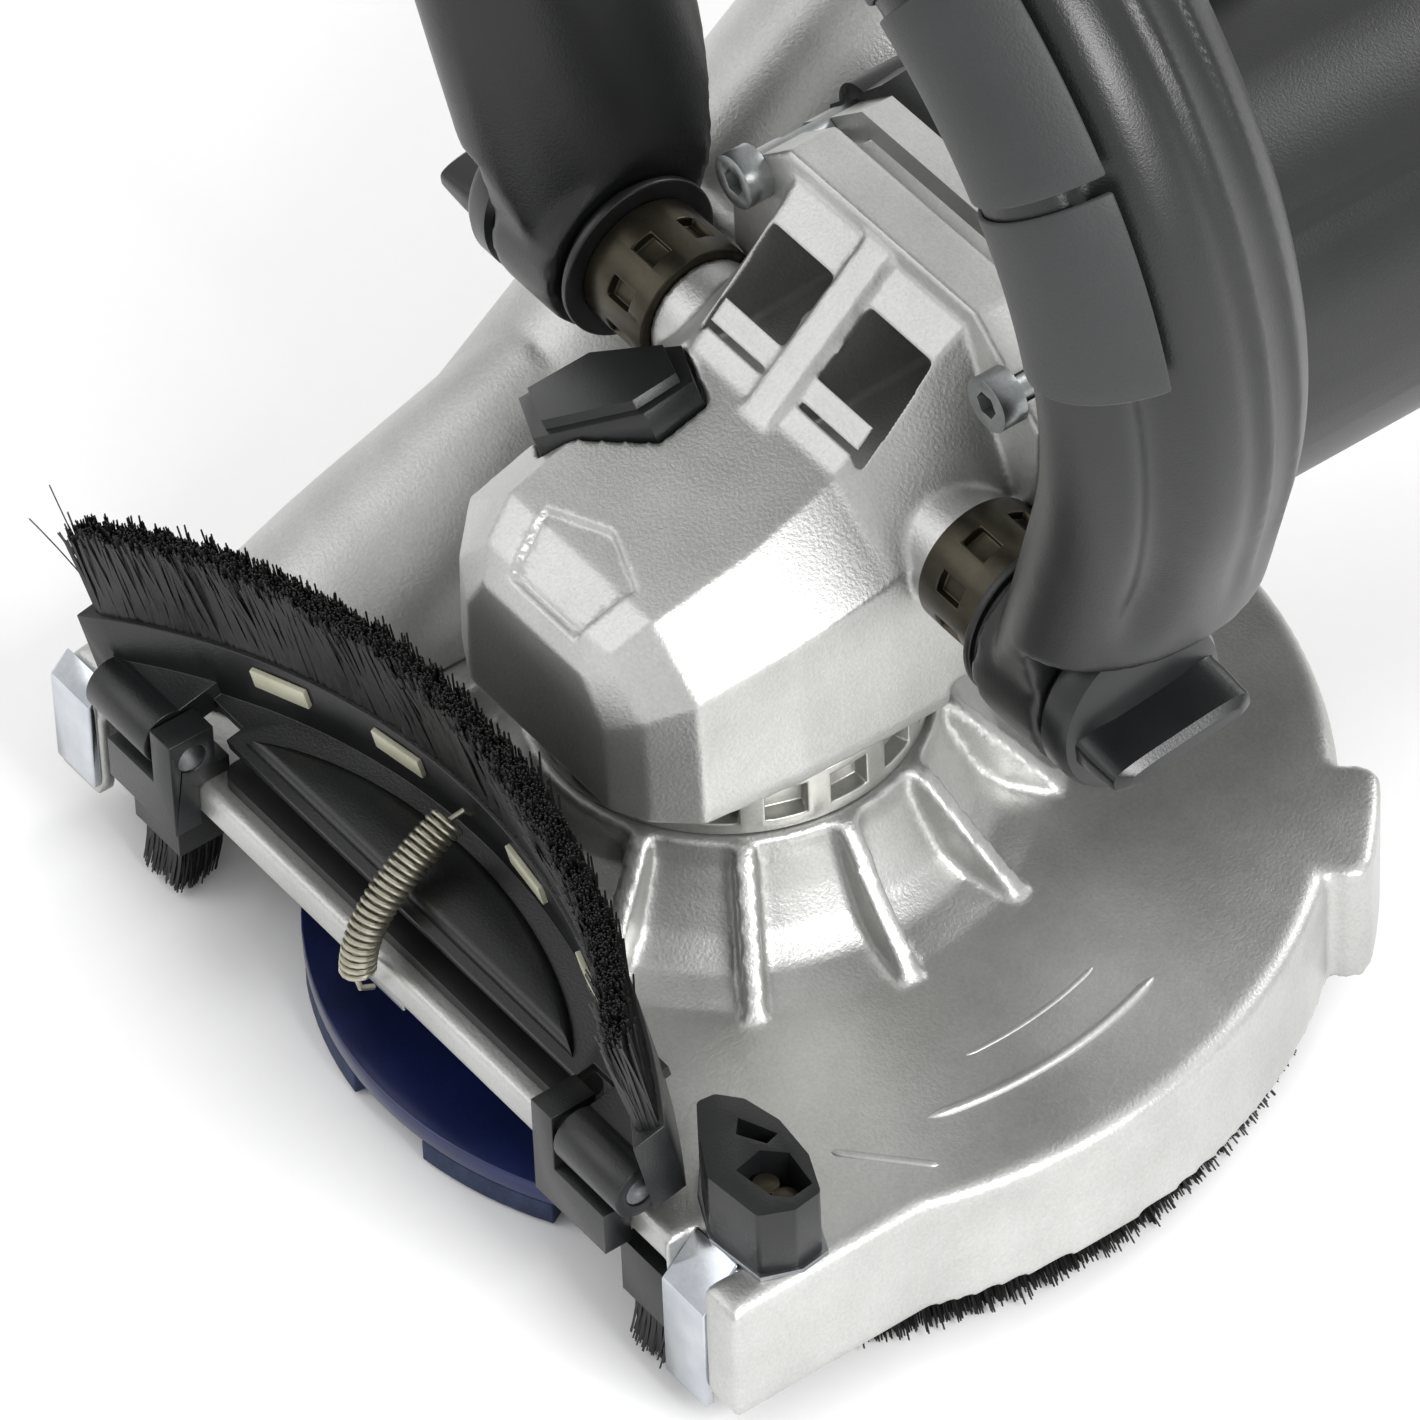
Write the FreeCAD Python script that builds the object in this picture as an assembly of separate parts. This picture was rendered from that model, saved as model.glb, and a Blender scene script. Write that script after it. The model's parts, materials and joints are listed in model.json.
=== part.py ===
"""Hand-held surface grinder with a dust hood: one STEP file for each separate piece.

Millimetres.  +Z is up, -Y is forward (the nose and the front brush segment), +X is the
operator's left when the tool is pushed forward.  Names that say right or left are as
seen from the front, facing the nose, so right is +X.  The origin is on the spindle axis,
in the plane that the diamond segments grind.
"""
import FreeCAD, Part
import math
import os

V = FreeCAD.Vector
os.makedirs("parts", exist_ok=True)

# ---------------------------------------------------------------- driving dimensions
DISC_R = 65.0            # 130 mm cup disc
DISC_EDGE_TOP = 7.4
SEGMENT_H = 4.0
SEGMENT_COUNT = 10
SPINDLE_R = 7.0

HOOD_R = 89.5
HOOD_TOP = 30.5
HOOD_BOTTOM = 8.5
HOOD_WALL = 4.0
SIDE_RIGHT = 84.6        # straight side walls forward of the round part
SIDE_LEFT = -85.6
FRONT_Y = -63.6
OPENING_MID_X = -4.2     # middle of the front opening, a little off the spindle
OPENING_HALF = 71.4
LIP_Y = -61.6            # front edge of the top plate between the wear plates
COLLAR_R = 31.0
COLLAR_TOP = 50.0
GUSSET_ANGLES = (-61, -33, -4, 24, 52, 214)
GUSSET_R = 48.5
GUSSET_T = 3.4

HEAD_BOTTOM = 60.0
MOTOR_Z = 87.0
MOTOR_R = 36.0
FLANGE_Y = 30.0
FLANGE_T = 9.0
FLANGE_SCREW_X = 30.0
FLANGE_SCREW_Z = 28.0
MOTOR_FRONT = 49.0
MOTOR_BACK = 158.0
REAR_BACK = 318.0

HUB_Y = 21.0             # clamp axis of the bail handle
HUB_Z = 90.0
HUB_R = 10.6
HUB_START = 33.2         # the collar begins here, outside its cast neck
HUB_END = 47.4
HUB_SPIGOT_R = 6.0       # threaded end in the cast neck
HUB_NECK_R = 9.2
HUB_NECK_START = 26.0
BOSS_R = 14.6
BAIL_R = 77.5
BAIL_CENTRE_Z = 156.0
BAIL_KNEE = -18.0        # where the arch runs into the straight legs, degrees
BAIL_HALF_WIDE = 21.0     # front to back
BAIL_HALF_DEEP = 14.0     # across the arch
BAIL_BACK = 5.0          # the section sits this far behind the clamp axis
BAIL_LEAN = 3.0
PAD_ANGLES = ((9, 29.5), (31, 53), (55, 75), (105, 125), (127, 149), (150.5, 171))   # soft pads on the arch
STUD_R = 4.0

DUCT_X = -66.0
DUCT_R = 20.0
DUCT_WALL = 2.6
DUCT_SLOPE = 37.0
DUCT_Z0 = 29.0           # height of the duct's axis above y = 0
DUCT_END = 132.0         # along the axis

SEG_AXIS_Y = -62.4       # hinge of the front brush segment
SEG_AXIS_Z = 36.6
SEG_ARC_R = 124.0
SEG_HALF = 69.0
PIN_R = 2.5              # hinge pins of the segment
SEG_OPEN = 167.6         # degrees from closed to folded back
BRISTLE_LEN = 21.0

GEAR_RATIO = 3
PINION_TEETH = 12
CROWN_R = 22.5
GEAR_FACE = 6.5
TOOTH_FILL = 0.98        # tooth thickness at the root against half the pitch, with backlash
FIT = 0.05               # radial running clearance
LOCK_PIN = 5.0           # length of the spindle lock's pin below the pad

X, Y, Z = V(1, 0, 0), V(0, 1, 0), V(0, 0, 1)


# ---------------------------------------------------------------- shape helpers
def box(x0, x1, y0, y1, z0, z1):
    """Block between two corners."""
    return Part.makeBox(x1 - x0, y1 - y0, z1 - z0, V(x0, y0, z0))


def rod(radius, start, axis, length):
    """Round bar from a start point along an axis."""
    return Part.makeCylinder(radius, length, start, axis)


def tube(outer, inner, start, axis, length):
    """Round bar with a through hole."""
    return rod(outer, start, axis, length).cut(rod(inner, start, axis, length))


def outline(points):
    """Closed wire through 3-D points."""
    return Part.makePolygon(list(points) + [points[0]])


def prism(points, direction):
    """Closed outline swept along a vector."""
    return Part.Face(outline(points)).extrude(direction)


def plan(points, z0, z1):
    """Outline in plan, from one height to another."""
    return prism([V(x, y, z0) for x, y in points], V(0, 0, z1 - z0))


def turned(profile, base=V(0, 0, 0), axis=Z):
    """Profile of (radius, height) points turned about an axis."""
    face = Part.Face(outline([V(r, 0, h) for r, h in profile]))
    solid = face.revolve(V(0, 0, 0), Z, 360)
    solid.Placement = FreeCAD.Placement(base, FreeCAD.Rotation(Z, axis))
    return solid


def skin(wires, ruled=True):
    """Solid through a row of closed wires."""
    return Part.makeLoft(wires, True, ruled)


def fuse(*solids):
    """One solid from several that touch."""
    first = solids[0].fuse(list(solids[1:])) if len(solids) > 1 else solids[0]
    return first.removeSplitter()


def group(solids):
    """Several separate solids in one node."""
    return Part.makeCompound(solids)


def spun(solid, degrees, base=V(0, 0, 0), axis=Z):
    """Copy turned about an axis."""
    out = solid.copy()
    out.rotate(base, axis, degrees)
    return out


def mirrored(solid):
    """Copy on the other side of the middle plane."""
    return solid.mirror(V(0, 0, 0), X)


def rounded(solid, radius, keep):
    """Edges that pass the test, filleted; the solid itself where that can't be done."""
    edges = [e for e in solid.Edges if keep(e)]
    try:
        out = solid.makeFillet(radius, edges)
        return out if out.isValid() else solid
    except Exception:
        return solid


def vertical(edge):
    """True for a straight edge along Z."""
    a, b = edge.Vertexes[0].Point, edge.Vertexes[-1].Point
    return abs(a.x - b.x) < 0.01 and abs(a.y - b.y) < 0.01 and abs(a.z - b.z) > 1.0


def socket_screw(point, axis, head_r=4.4, head_h=4.2, shank_r=2.5, length=18.0):
    """Socket head screw; point is under the head and axis points along the shank."""
    head = rod(head_r, point - axis * head_h, axis, head_h)
    hexagon = [V(head_r * 0.5 * math.cos(math.radians(60 * i)),
                 head_r * 0.5 * math.sin(math.radians(60 * i)), 0) for i in range(6)]
    socket = prism(hexagon, V(0, 0, head_h * 0.6))
    socket.Placement = FreeCAD.Placement(point - axis * head_h, FreeCAD.Rotation(Z, axis))
    return head.fuse(rod(shank_r, point, axis, length)).removeSplitter().cut(socket)


PARTS = {}


def node(name, shape):
    """Keep a finished piece under its node name."""
    PARTS[name] = shape


# ---------------------------------------------------------------- dust hood
def hood_plan(inset):
    """Plan of the hood: a round back with straight sides and a square front."""
    r = HOOD_R - inset
    left, right = SIDE_LEFT + inset, SIDE_RIGHT - inset
    front = FRONT_Y + inset
    back_l = math.degrees(math.acos(max(left / r, -1)))
    back_r = -math.degrees(math.acos(min(right / r, 1)))
    start = V(r * math.cos(math.radians(back_r)), r * math.sin(math.radians(back_r)), 0)
    end = V(r * math.cos(math.radians(-back_l)), r * math.sin(math.radians(-back_l)), 0)
    arc = Part.Arc(start, V(0, r, 0), end).toShape()
    square = [end, V(left, front, 0), V(right, front, 0), start]
    edges = [arc] + [Part.makeLine(square[i], square[i + 1]) for i in range(3)]
    return Part.Face(Part.Wire(edges))


def lug(angle_from, angle_to):
    """Block with a rounded end that stands out of the hood's wall."""
    outer = 95.5
    slab = tube(outer, HOOD_R - 3, V(0, 0, HOOD_BOTTOM), Z, HOOD_TOP - HOOD_BOTTOM)
    a, b = math.radians(angle_from), math.radians(angle_to)
    far = outer * 1.3
    wedge = plan([(0, 0), (far * math.cos(a), far * math.sin(a)),
                  (far * math.cos(b), far * math.sin(b))], HOOD_BOTTOM, HOOD_TOP)
    return rounded(slab.common(wedge), 4.0, vertical)


def gusset(angle):
    """Upright rib between the collar and the top plate."""
    rib = prism([V(COLLAR_R - 4, -GUSSET_T / 2, HOOD_TOP - 1), V(GUSSET_R, -GUSSET_T / 2, HOOD_TOP - 1),
                 V(GUSSET_R, -GUSSET_T / 2, HOOD_TOP + 0.6),
                 V(COLLAR_R + 1.5, -GUSSET_T / 2, COLLAR_TOP - 1),
                 V(COLLAR_R - 4, -GUSSET_T / 2, COLLAR_TOP - 1)], V(0, GUSSET_T, 0))
    return spun(rib, angle)


def hood():
    """Cast hood: shell, collar with ribs, lugs, and the cut-out at the front."""
    height = HOOD_TOP - HOOD_BOTTOM
    shell = hood_plan(0).extrude(V(0, 0, height))
    shell.translate(V(0, 0, HOOD_BOTTOM))
    shell = rounded(shell, 2.5, lambda e: all(v.Point.z > HOOD_TOP - 0.01 for v in e.Vertexes))
    shell = shell.fuse([lug(40, 54.5), lug(125.5, 140)])
    cavity = hood_plan(HOOD_WALL).extrude(V(0, 0, height - HOOD_WALL))
    cavity.translate(V(0, 0, HOOD_BOTTOM))
    left = OPENING_MID_X - OPENING_HALF
    right = OPENING_MID_X + OPENING_HALF
    mouth = box(left + 0.4, right - 0.4, -70, -50, HOOD_BOTTOM - 1, HOOD_TOP - 6)
    front_cut = box(left, right, -70, LIP_Y, HOOD_BOTTOM - 1, HOOD_TOP + 1)
    collar = turned([(20, 26), (COLLAR_R, 26), (50, 29), (46, 30.6), (40, 32.4), (36, 35.6),
                     (33, 41), (COLLAR_R, 46), (COLLAR_R, COLLAR_TOP), (20, COLLAR_TOP)])
    solid = shell.cut([cavity]).fuse([collar] + [gusset(a) for a in GUSSET_ANGLES])
    bore = rod(21.0, V(0, 0, 20), Z, 40)
    duct_mouth = duct_core(DUCT_R - DUCT_WALL + 0.2)
    plates = [plate_seat(*row) for row in PLATES]
    return solid.cut([mouth, front_cut, bore, duct_mouth] + plates).removeSplitter()


# ---------------------------------------------------------------- suction duct
DUCT_DIR = V(0, math.cos(math.radians(DUCT_SLOPE)), math.sin(math.radians(DUCT_SLOPE)))


def duct_point(along):
    """Point on the duct's axis."""
    return V(DUCT_X, 0, DUCT_Z0) + DUCT_DIR * along


def duct_core(radius):
    """Inside of the duct, from the hood's cavity to past its mouth."""
    return rod(radius, duct_point(-26), DUCT_DIR, DUCT_END + 60)


def suction_duct():
    """Cast tube that leaves the hood's top plate and rises past the motor."""
    pipe = rod(DUCT_R, duct_point(-30), DUCT_DIR, DUCT_END + 30)
    seam = rod(DUCT_R + 1.2, duct_point(62), DUCT_DIR, 3)
    hump = skin([hump_section(y, half, top) for y, half, top in
                 ((-52, 12, 31.2), (-36, 18.5, 41), (-14, 21, 52), (12, 20.4, 64))], False)
    outer = pipe.fuse([seam, hump])
    below = box(-120, 0, -90, 120, -60, HOOD_TOP)
    return outer.cut([below, duct_core(DUCT_R - DUCT_WALL), hood_keep_out()]).removeSplitter()


def hump_section(y, half, top):
    """Half-round section of the channel that runs into the duct."""
    ellipse = Part.Ellipse(V(0, 0, 0), max(half, top - HOOD_TOP + 6), min(half, top - HOOD_TOP + 6))
    wire = Part.Wire([ellipse.toShape()])
    spin = 0 if half >= top - HOOD_TOP + 6 else 90
    wire.rotate(V(0, 0, 0), Z, spin)
    wire.rotate(V(0, 0, 0), X, 90)
    wire.translate(V(DUCT_X, y, HOOD_TOP - 6))
    return wire


def hood_keep_out():
    """Room for the collar and its ribs."""
    return rod(40.5, V(0, 0, 20), Z, 80)


def hose_connector():
    """Swivelling sleeve that a suction hose pushes into."""
    start = duct_point(DUCT_END - 14)
    sleeve = tube(16.9, 14.0, start, DUCT_DIR, 16)
    bell = tube(21.0, 16.0, duct_point(DUCT_END + 2), DUCT_DIR, 34)
    web = tube(21.0, 14.0, duct_point(DUCT_END + 0.4), DUCT_DIR, 1.8)
    ribs = [tube(22.2, 20.5, duct_point(DUCT_END + 6 + 7 * i), DUCT_DIR, 2.4) for i in range(4)]
    return fuse(sleeve, web, bell, *ribs)


def duct_liner():
    """Bush in the duct's mouth that the connector turns in."""
    return tube(DUCT_R - DUCT_WALL, 16.9 + FIT, duct_point(DUCT_END - 16), DUCT_DIR, 15.8)


# ---------------------------------------------------------------- front corners
# Each wear plate: left edge, bottom and top of its front face, length of its bent top.
PLATES = ((OPENING_MID_X - OPENING_HALF - 10.0, 10.0, 27.0, 3.4),
          (OPENING_MID_X + OPENING_HALF + 0.1, 4.6, 24.0, 6.6))
PLATE_T = 1.5


def wear_plate(x0, z0, z1, reach):
    """Bent steel plate over a front corner of the hood."""
    face = box(x0, x0 + 9.9, FRONT_Y, FRONT_Y + PLATE_T, z0, z1)
    flap = prism([V(x0, FRONT_Y, z1), V(x0, FRONT_Y + PLATE_T, z1 - 0.5),
                  V(x0, FRONT_Y + PLATE_T + reach - 1, z1 - 1.5 + reach),
                  V(x0, FRONT_Y + reach, z1 + reach)], V(9.9, 0, 0))
    return face.fuse(flap).removeSplitter()


def plate_seat(x0, z0, z1, reach):
    """Room for a wear plate: a step in the front face and a chamfer above it."""
    front = box(x0 - 0.02, x0 + 10.0, FRONT_Y - 2, FRONT_Y + PLATE_T, z0 - 0.1, HOOD_TOP + 1)
    slope = prism([V(x0 - 0.02, FRONT_Y - 3, z1 - 5), V(x0 - 0.02, FRONT_Y + 14, z1 + 12),
                   V(x0 - 0.02, FRONT_Y + 14, 60), V(x0 - 0.02, FRONT_Y - 3, 60)], V(10.02, 0, 0))
    return front.fuse(slope)


def corner_block():
    """Black block on the right front corner, curved at the back, with two pockets, and its shim."""
    base, top = HOOD_TOP + 0.8, HOOD_TOP + 12.8
    edge = [(70.5, -57.0), (81.0, -56.0), (83.4, -51), (82.8, -46.0), (76, -43.0), (68, -42.2),
            (61.6, -43.6), (58.2, -46.4), (57.8, -49.4), (63.6, -53.2)]
    body = rounded(plan(edge, base, top), 1.2, vertical)
    pocket = plan([(72, -53), (79, -52), (81.2, -50), (80.8, -46), (74, -45), (71, -48)], base + 3, top + 1)
    slot = plan([(64, -46.6), (70, -44.0), (70.6, -46.4), (66.4, -48.8)], base + 6, top + 1)
    shim = [(x + (0.7 if x > 70 else -0.4), y - 0.5 if y < -53 else y + 0.5) for x, y in edge]
    return body.cut([pocket, slot]), plan(shim, HOOD_TOP + 0.02, base - 0.02)


def block_screws():
    """Screws in the pocket of the corner block."""
    base = HOOD_TOP + 3.8
    return group([rod(2.0, V(x, y, base), Z, 6.0) for x, y in ((74.4, -49.6), (78.2, -49.0))])


def side_span(side, near, far):
    """Two x values on one side of the opening's middle, in rising order."""
    return sorted((OPENING_MID_X + side * near, OPENING_MID_X + side * far))


def hinge_bracket(side):
    """Black bracket on the hood's lip that holds one hinge pin of the front segment."""
    def block(near, far, y0, y1, z0, z1):
        xa, xb = side_span(side, near, far)
        return box(xa, xb, y0, y1, z0, z1)
    foot = block(45.0, 50.0, -66.4, -56.0, HOOD_TOP + 0.02, HOOD_TOP + 3.0)
    cheek = block(45.0, 50.0, -66.4, -58.4, HOOD_TOP + 0.02, SEG_AXIS_Z + 4.4)
    apron = block(45.0, 62.0, -66.4, LIP_Y - 0.1, 22.6, HOOD_TOP - 0.1)
    link = block(45.0, 50.0, -66.4, LIP_Y - 0.1, 22.6, SEG_AXIS_Z)
    xa, xb = side_span(side, 44.0, 51.0)
    return fuse(foot, cheek, apron, link).cut(rod(2.5, V(xa, SEG_AXIS_Y, SEG_AXIS_Z), X, xb - xa))


def front_seal():
    """Rubber bar behind the hood's front lip."""
    x0, x1 = OPENING_MID_X - 44, OPENING_MID_X + 44
    bar = box(x0, x1, -58.6, -51.5, HOOD_TOP + 0.02, HOOD_TOP + 2.2)
    return rounded(bar, 3.0, vertical)


# ---------------------------------------------------------------- brush ring
def brush_ring():
    """Black carrier of the bristles, sliding in the hood."""
    carrier = tube(84.6, 78.4, V(0, 0, 9.5), Z, 5.5)
    front = box(-120, 120, -120, -52, 0, 40)
    ends = [box(54.5, 66, -61.5, -51, 9.5, 20.5), box(-68.0, -56.5, -61.5, -51, 9.5, 20.5)]
    carrier = carrier.cut([front])
    links = [box(57, 66, -56, -46, 9.5, 15), box(-68, -60, -56, -46, 9.5, 15)]
    guides = [rod(3.0, V(81.5 * math.cos(a), 81.5 * math.sin(a), 15), Z, 3.0) for a in ring_angles()]
    return fuse(carrier, *(ends + links + guides))


def ring_angles():
    """Places of the four pressure springs round the hood."""
    return [math.radians(d) for d in (-15, 55, 125, 195)]


def ring_bristles():
    """Solid outline of the bristle skirt."""
    skirt = tube(83.6, 79.6, V(0, 0, 0.3), Z, 9.2)
    skirt = skirt.cut([box(-120, 120, -120, -52, -1, 40)])
    tufts = [box(55.5, 65, -60.5, -52.2, 0.3, 9.5), box(-67, -57.5, -60.5, -52.2, 0.3, 9.5)]
    return group([skirt] + tufts)


def float_springs():
    """Pressure springs between the brush ring and the hood."""
    return group([tube(3.6, 3.1, V(81.5 * math.cos(a), 81.5 * math.sin(a), 15.1), Z, 11.2)
                  for a in ring_angles()])


# ---------------------------------------------------------------- front brush segment
def seg_arc(radius, z0, z1):
    """Disc piece in front of the hinge line, in the closed position."""
    centre_y = SEG_AXIS_Y - 2.7 + math.sqrt(SEG_ARC_R ** 2 - SEG_HALF ** 2)
    return rod(radius, V(OPENING_MID_X, centre_y, z0), Z, z1 - z0)


def fold_open(solid):
    """Turn from the closed position to the open one about the hinge."""
    return spun(solid, -SEG_OPEN, V(0, SEG_AXIS_Y, SEG_AXIS_Z), X)


def seg_band(outer, inner, half, z0, z1):
    """Arc-shaped wall of the segment."""
    wall = seg_arc(outer, z0, z1).cut([seg_arc(inner, z0 - 1, z1 + 1)])
    keep = box(OPENING_MID_X - half, OPENING_MID_X + half, -120, SEG_AXIS_Y + 1, z0, z1)
    return wall.common(keep)


def segment_frame():
    """Arc wall, roof sheet and the two hinge barrels of the front segment."""
    top = SEG_AXIS_Z + 1.4
    low = SEG_AXIS_Z - 13.6
    wall = seg_band(SEG_ARC_R + 2.4, SEG_ARC_R - 2.4, SEG_HALF, low, top)
    keep = box(OPENING_MID_X - 43.5, OPENING_MID_X + 43.5, -120, SEG_AXIS_Y - 5.4, 0, 60)
    sheet = seg_arc(SEG_ARC_R, top - 2.2, top).common(keep)
    arms = []
    for side in (-1, 1):
        xa, xb = side_span(side, 51.0, 66.0)
        arm = box(xa, xb, SEG_AXIS_Y - 11, SEG_AXIS_Y, SEG_AXIS_Z - 3.6, top).common(
            seg_arc(SEG_ARC_R, SEG_AXIS_Z - 5, top))
        barrel = rod(4.6, V(xa, SEG_AXIS_Y, SEG_AXIS_Z), X, xb - xa)
        shoulder = box(*side_span(side, 42.0, 52.0), SEG_AXIS_Y - 16, SEG_AXIS_Y - 8.6, top - 2.2, top)
        arms.append(arm.fuse([barrel, shoulder]))
    holes = [rod(PIN_R + FIT, V(side_span(side, 44, 67)[0], SEG_AXIS_Y, SEG_AXIS_Z), X, 23)
             for side in (-1, 1)]
    return fold_open(fuse(wall, sheet, *arms).cut(holes))


def segment_bristles():
    """Solid outline of the segment's bristles."""
    low = SEG_AXIS_Z - 13.6
    return fold_open(seg_band(SEG_ARC_R + 1.8, SEG_ARC_R - 1.8, SEG_HALF - 1, low - BRISTLE_LEN, low))


def segment_clips():
    """Cream clips that lock the bristle strip into the arc wall."""
    clips = []
    centre_y = SEG_AXIS_Y - 2.7 + math.sqrt(SEG_ARC_R ** 2 - SEG_HALF ** 2)
    for degrees in (-18.5, -7.5, 7.5, 18.5):
        clip = box(-5, 5, -SEG_ARC_R + 2.52, -SEG_ARC_R + 3.4, SEG_AXIS_Z - 11.5, SEG_AXIS_Z - 7.5)
        clips.append(spun(clip, degrees).translated(V(OPENING_MID_X, centre_y, 0)))
    return fold_open(group(clips))


def segment_pins():
    """Steel hinge pins, one in each bracket."""
    return group([rod(PIN_R, V(side_span(side, 45.2, 65.8)[0], SEG_AXIS_Y, SEG_AXIS_Z), X, 20.6)
                  for side in (-1, 1)])


def segment_spring():
    """Outline of the over-centre spring between the hood's lip and the segment."""
    low = V(OPENING_MID_X, -64.9, 28.0)
    bend = V(OPENING_MID_X, -63.6, 39.0)
    high = V(OPENING_MID_X, -46.6, 50.4)
    first = rod(2.9, low, bend - low, (bend - low).Length)
    second = rod(2.9, bend, high - bend, (high - bend).Length)
    return fuse(first, second, Part.makeSphere(2.9, bend))


def spring_anchor():
    """Hook plate under the hood's lip that holds the spring's lower end."""
    return box(OPENING_MID_X - 5, OPENING_MID_X + 5, -60.9, -57, 22.6, 24.4)


# ---------------------------------------------------------------- gear head
def head_section(y, low, half, belt, top, top_half):
    """Eight-sided section of the gear head."""
    right = [(half * 0.98, low), (half, low + 3), (half * 0.97, belt), (top_half, top)]
    points = right + [(-x, z) for x, z in reversed(right)]
    return outline([V(x, y, z) for x, z in points])


HEAD_ROWS = ((-34.0, HEAD_BOTTOM, 17.0, 76.0, 84.0, 12.0), (-31.0, HEAD_BOTTOM, 23.0, 80.0, 88.5, 15.0),
             (-25.0, HEAD_BOTTOM, 28.5, 84.0, 93.0, 17.0), (-8.0, HEAD_BOTTOM, 30.5, 87.0, 97.5, 18.0),
             (8.0, HEAD_BOTTOM, 31.0, 90.0, 102.0, 17.0),
             (FLANGE_Y + 0.2, HEAD_BOTTOM, 31.0, 97.0, 121.0, 20.0))


def flange_plan(y0, y1, shrink):
    """Eight-sided flange behind the gear head."""
    w, n, t, b = 36.5 - shrink, 22.0 - shrink * 0.5, 124.5 - shrink, 51.5 + shrink
    points = [(w, 64), (w, 112), (n, t), (-n, t), (-w, 112), (-w, 64), (-n, b), (n, b)]
    return prism([V(x, y0, z) for x, z in points], V(0, y1 - y0, 0))


BUTTON_AT = V(-21.0, -3.0, 92.5)
BUTTON_IN = V(0.42, 0.16, -0.893).normalize()


def button_shape(grow, start, stop):
    """Five-cornered pad between two depths along the pressing direction."""
    corners = [(-16, -4.5), (-9.5, -10.5), (9, -9.5), (15, 3.5), (5, 11), (-11, 6.8)]
    face = []
    for u, v in corners:
        scale = 1 + grow / math.hypot(u, v)
        face.append(V(u * scale, v * scale, 0))
    solid = prism(face, V(0, 0, stop - start))
    solid.Placement = FreeCAD.Placement(BUTTON_AT + BUTTON_IN * start, FreeCAD.Rotation(Z, BUTTON_IN))
    return solid


def gear_head():
    """Cast gear case with a fin and two vent windows above the motor flange."""
    shell = skin([head_section(*row) for row in HEAD_ROWS])
    shell = shell.fuse([flange_plan(FLANGE_Y, FLANGE_Y + FLANGE_T, 0)])
    fin = prism([V(-3, 4.5, 99), V(-3, 6.0, 101.5), V(-3, 31, 123.5), V(-3, 31, 100), V(-3, 8, 96)],
                V(6, 0, 0))
    neck = tube(20.6, 17.0, V(0, 0, 50.5), Z, 10)
    hub_necks = [rod(HUB_NECK_R, V(side * HUB_NECK_START, HUB_Y, HUB_Z), X * side,
                     HUB_START - 0.1 - HUB_NECK_START) for side in (-1, 1)]
    reliefs = [rod(HUB_R + 0.3, V(side * (HUB_START - 0.1), HUB_Y, HUB_Z), X * side, 12) for side in (-1, 1)]
    gears = turned([(0, HEAD_BOTTOM + 2.5), (25.2, HEAD_BOTTOM + 2.5), (25.2, 83), (14, 90), (0, 90)])
    throat = rod(10.5, V(0, 2, MOTOR_Z), Y, 60)
    windows = [prism([V(x0, 11, 104), V(x0, 11, 99.5), V(x0, 40, 99.5), V(x0, 40, 114), V(x0, 24, 116)],
                     V(15, 0, 0)) for x0 in (-19, 4)]
    screws = [rod(2.6, V(x, FLANGE_Y - 1, MOTOR_Z + z), Y, 12)
              for x in (-FLANGE_SCREW_X, FLANGE_SCREW_X) for z in (-FLANGE_SCREW_Z, FLANGE_SCREW_Z)]
    hub_holes = [rod(HUB_SPIGOT_R + 0.02, V(side * 27, HUB_Y, HUB_Z), X * side, 14) for side in (-1, 1)]
    seats = [rod(5.4, V(x, FLANGE_Y - 12, MOTOR_Z + z), Y, 12)
             for x in (-FLANGE_SCREW_X, FLANGE_SCREW_X) for z in (-FLANGE_SCREW_Z, FLANGE_SCREW_Z)]
    pocket = button_shape(0.6, -14, 6.0)
    pin_hole = rod(2.5 + FIT, BUTTON_AT, BUTTON_IN, 18)
    solid = shell.cut([gears, throat] + windows).fuse([fin, neck] + hub_necks)
    openings = [rod(17.0, V(0, 0, 50), Z, 14), pocket, pin_hole, badge_shape(0.3, -1.2)]
    solid = solid.cut(openings + screws + hub_holes + reliefs + seats)
    return solid.removeSplitter()


def badge_shape(grow, depth):
    """Shield-shaped plate on the sloping nose."""
    slope = math.atan2(91.0 - 87.0, 6.0)
    shape = [(-11 - grow, 4 + grow), (0, 8 + grow), (11 + grow, 4 + grow), (8 + grow, -7 - grow),
             (-8 - grow, -7 - grow)]
    solid = prism([V(u, v, 0) for u, v in shape], V(0, 0, 4.0))
    solid.Placement = FreeCAD.Placement(V(0, -25.5, 89.8 + depth), FreeCAD.Rotation(X, math.degrees(slope)))
    return solid


def nose_badge():
    """Thin plain plate in the nose's recess."""
    plate = badge_shape(0, -1.2)
    cap = skin([head_section(*row) for row in HEAD_ROWS])
    return plate.common(cap)


def neck_ring():
    """Castellated ring between the hood's collar and the gear head."""
    ring = tube(29.6, 21.2, V(0, 0, COLLAR_TOP + 0.3), Z, HEAD_BOTTOM - COLLAR_TOP - 0.6)
    cuts = [spun(box(26.5, 33, -3.2, 3.2, COLLAR_TOP + 2.5, HEAD_BOTTOM - 1.8), 20 * i) for i in range(18)]
    return ring.cut(cuts)


def bearing(outer, inner, start, axis, width):
    """Ball bearing: two rings and the closed race between them."""
    gap = (outer - inner) * 0.3
    rings = [tube(outer, outer - gap, start, axis, width), tube(inner + gap, inner, start, axis, width)]
    race = tube(outer - gap, inner + gap, start + axis * (width * 0.15), axis, width * 0.7)
    return fuse(*rings, race)


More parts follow.
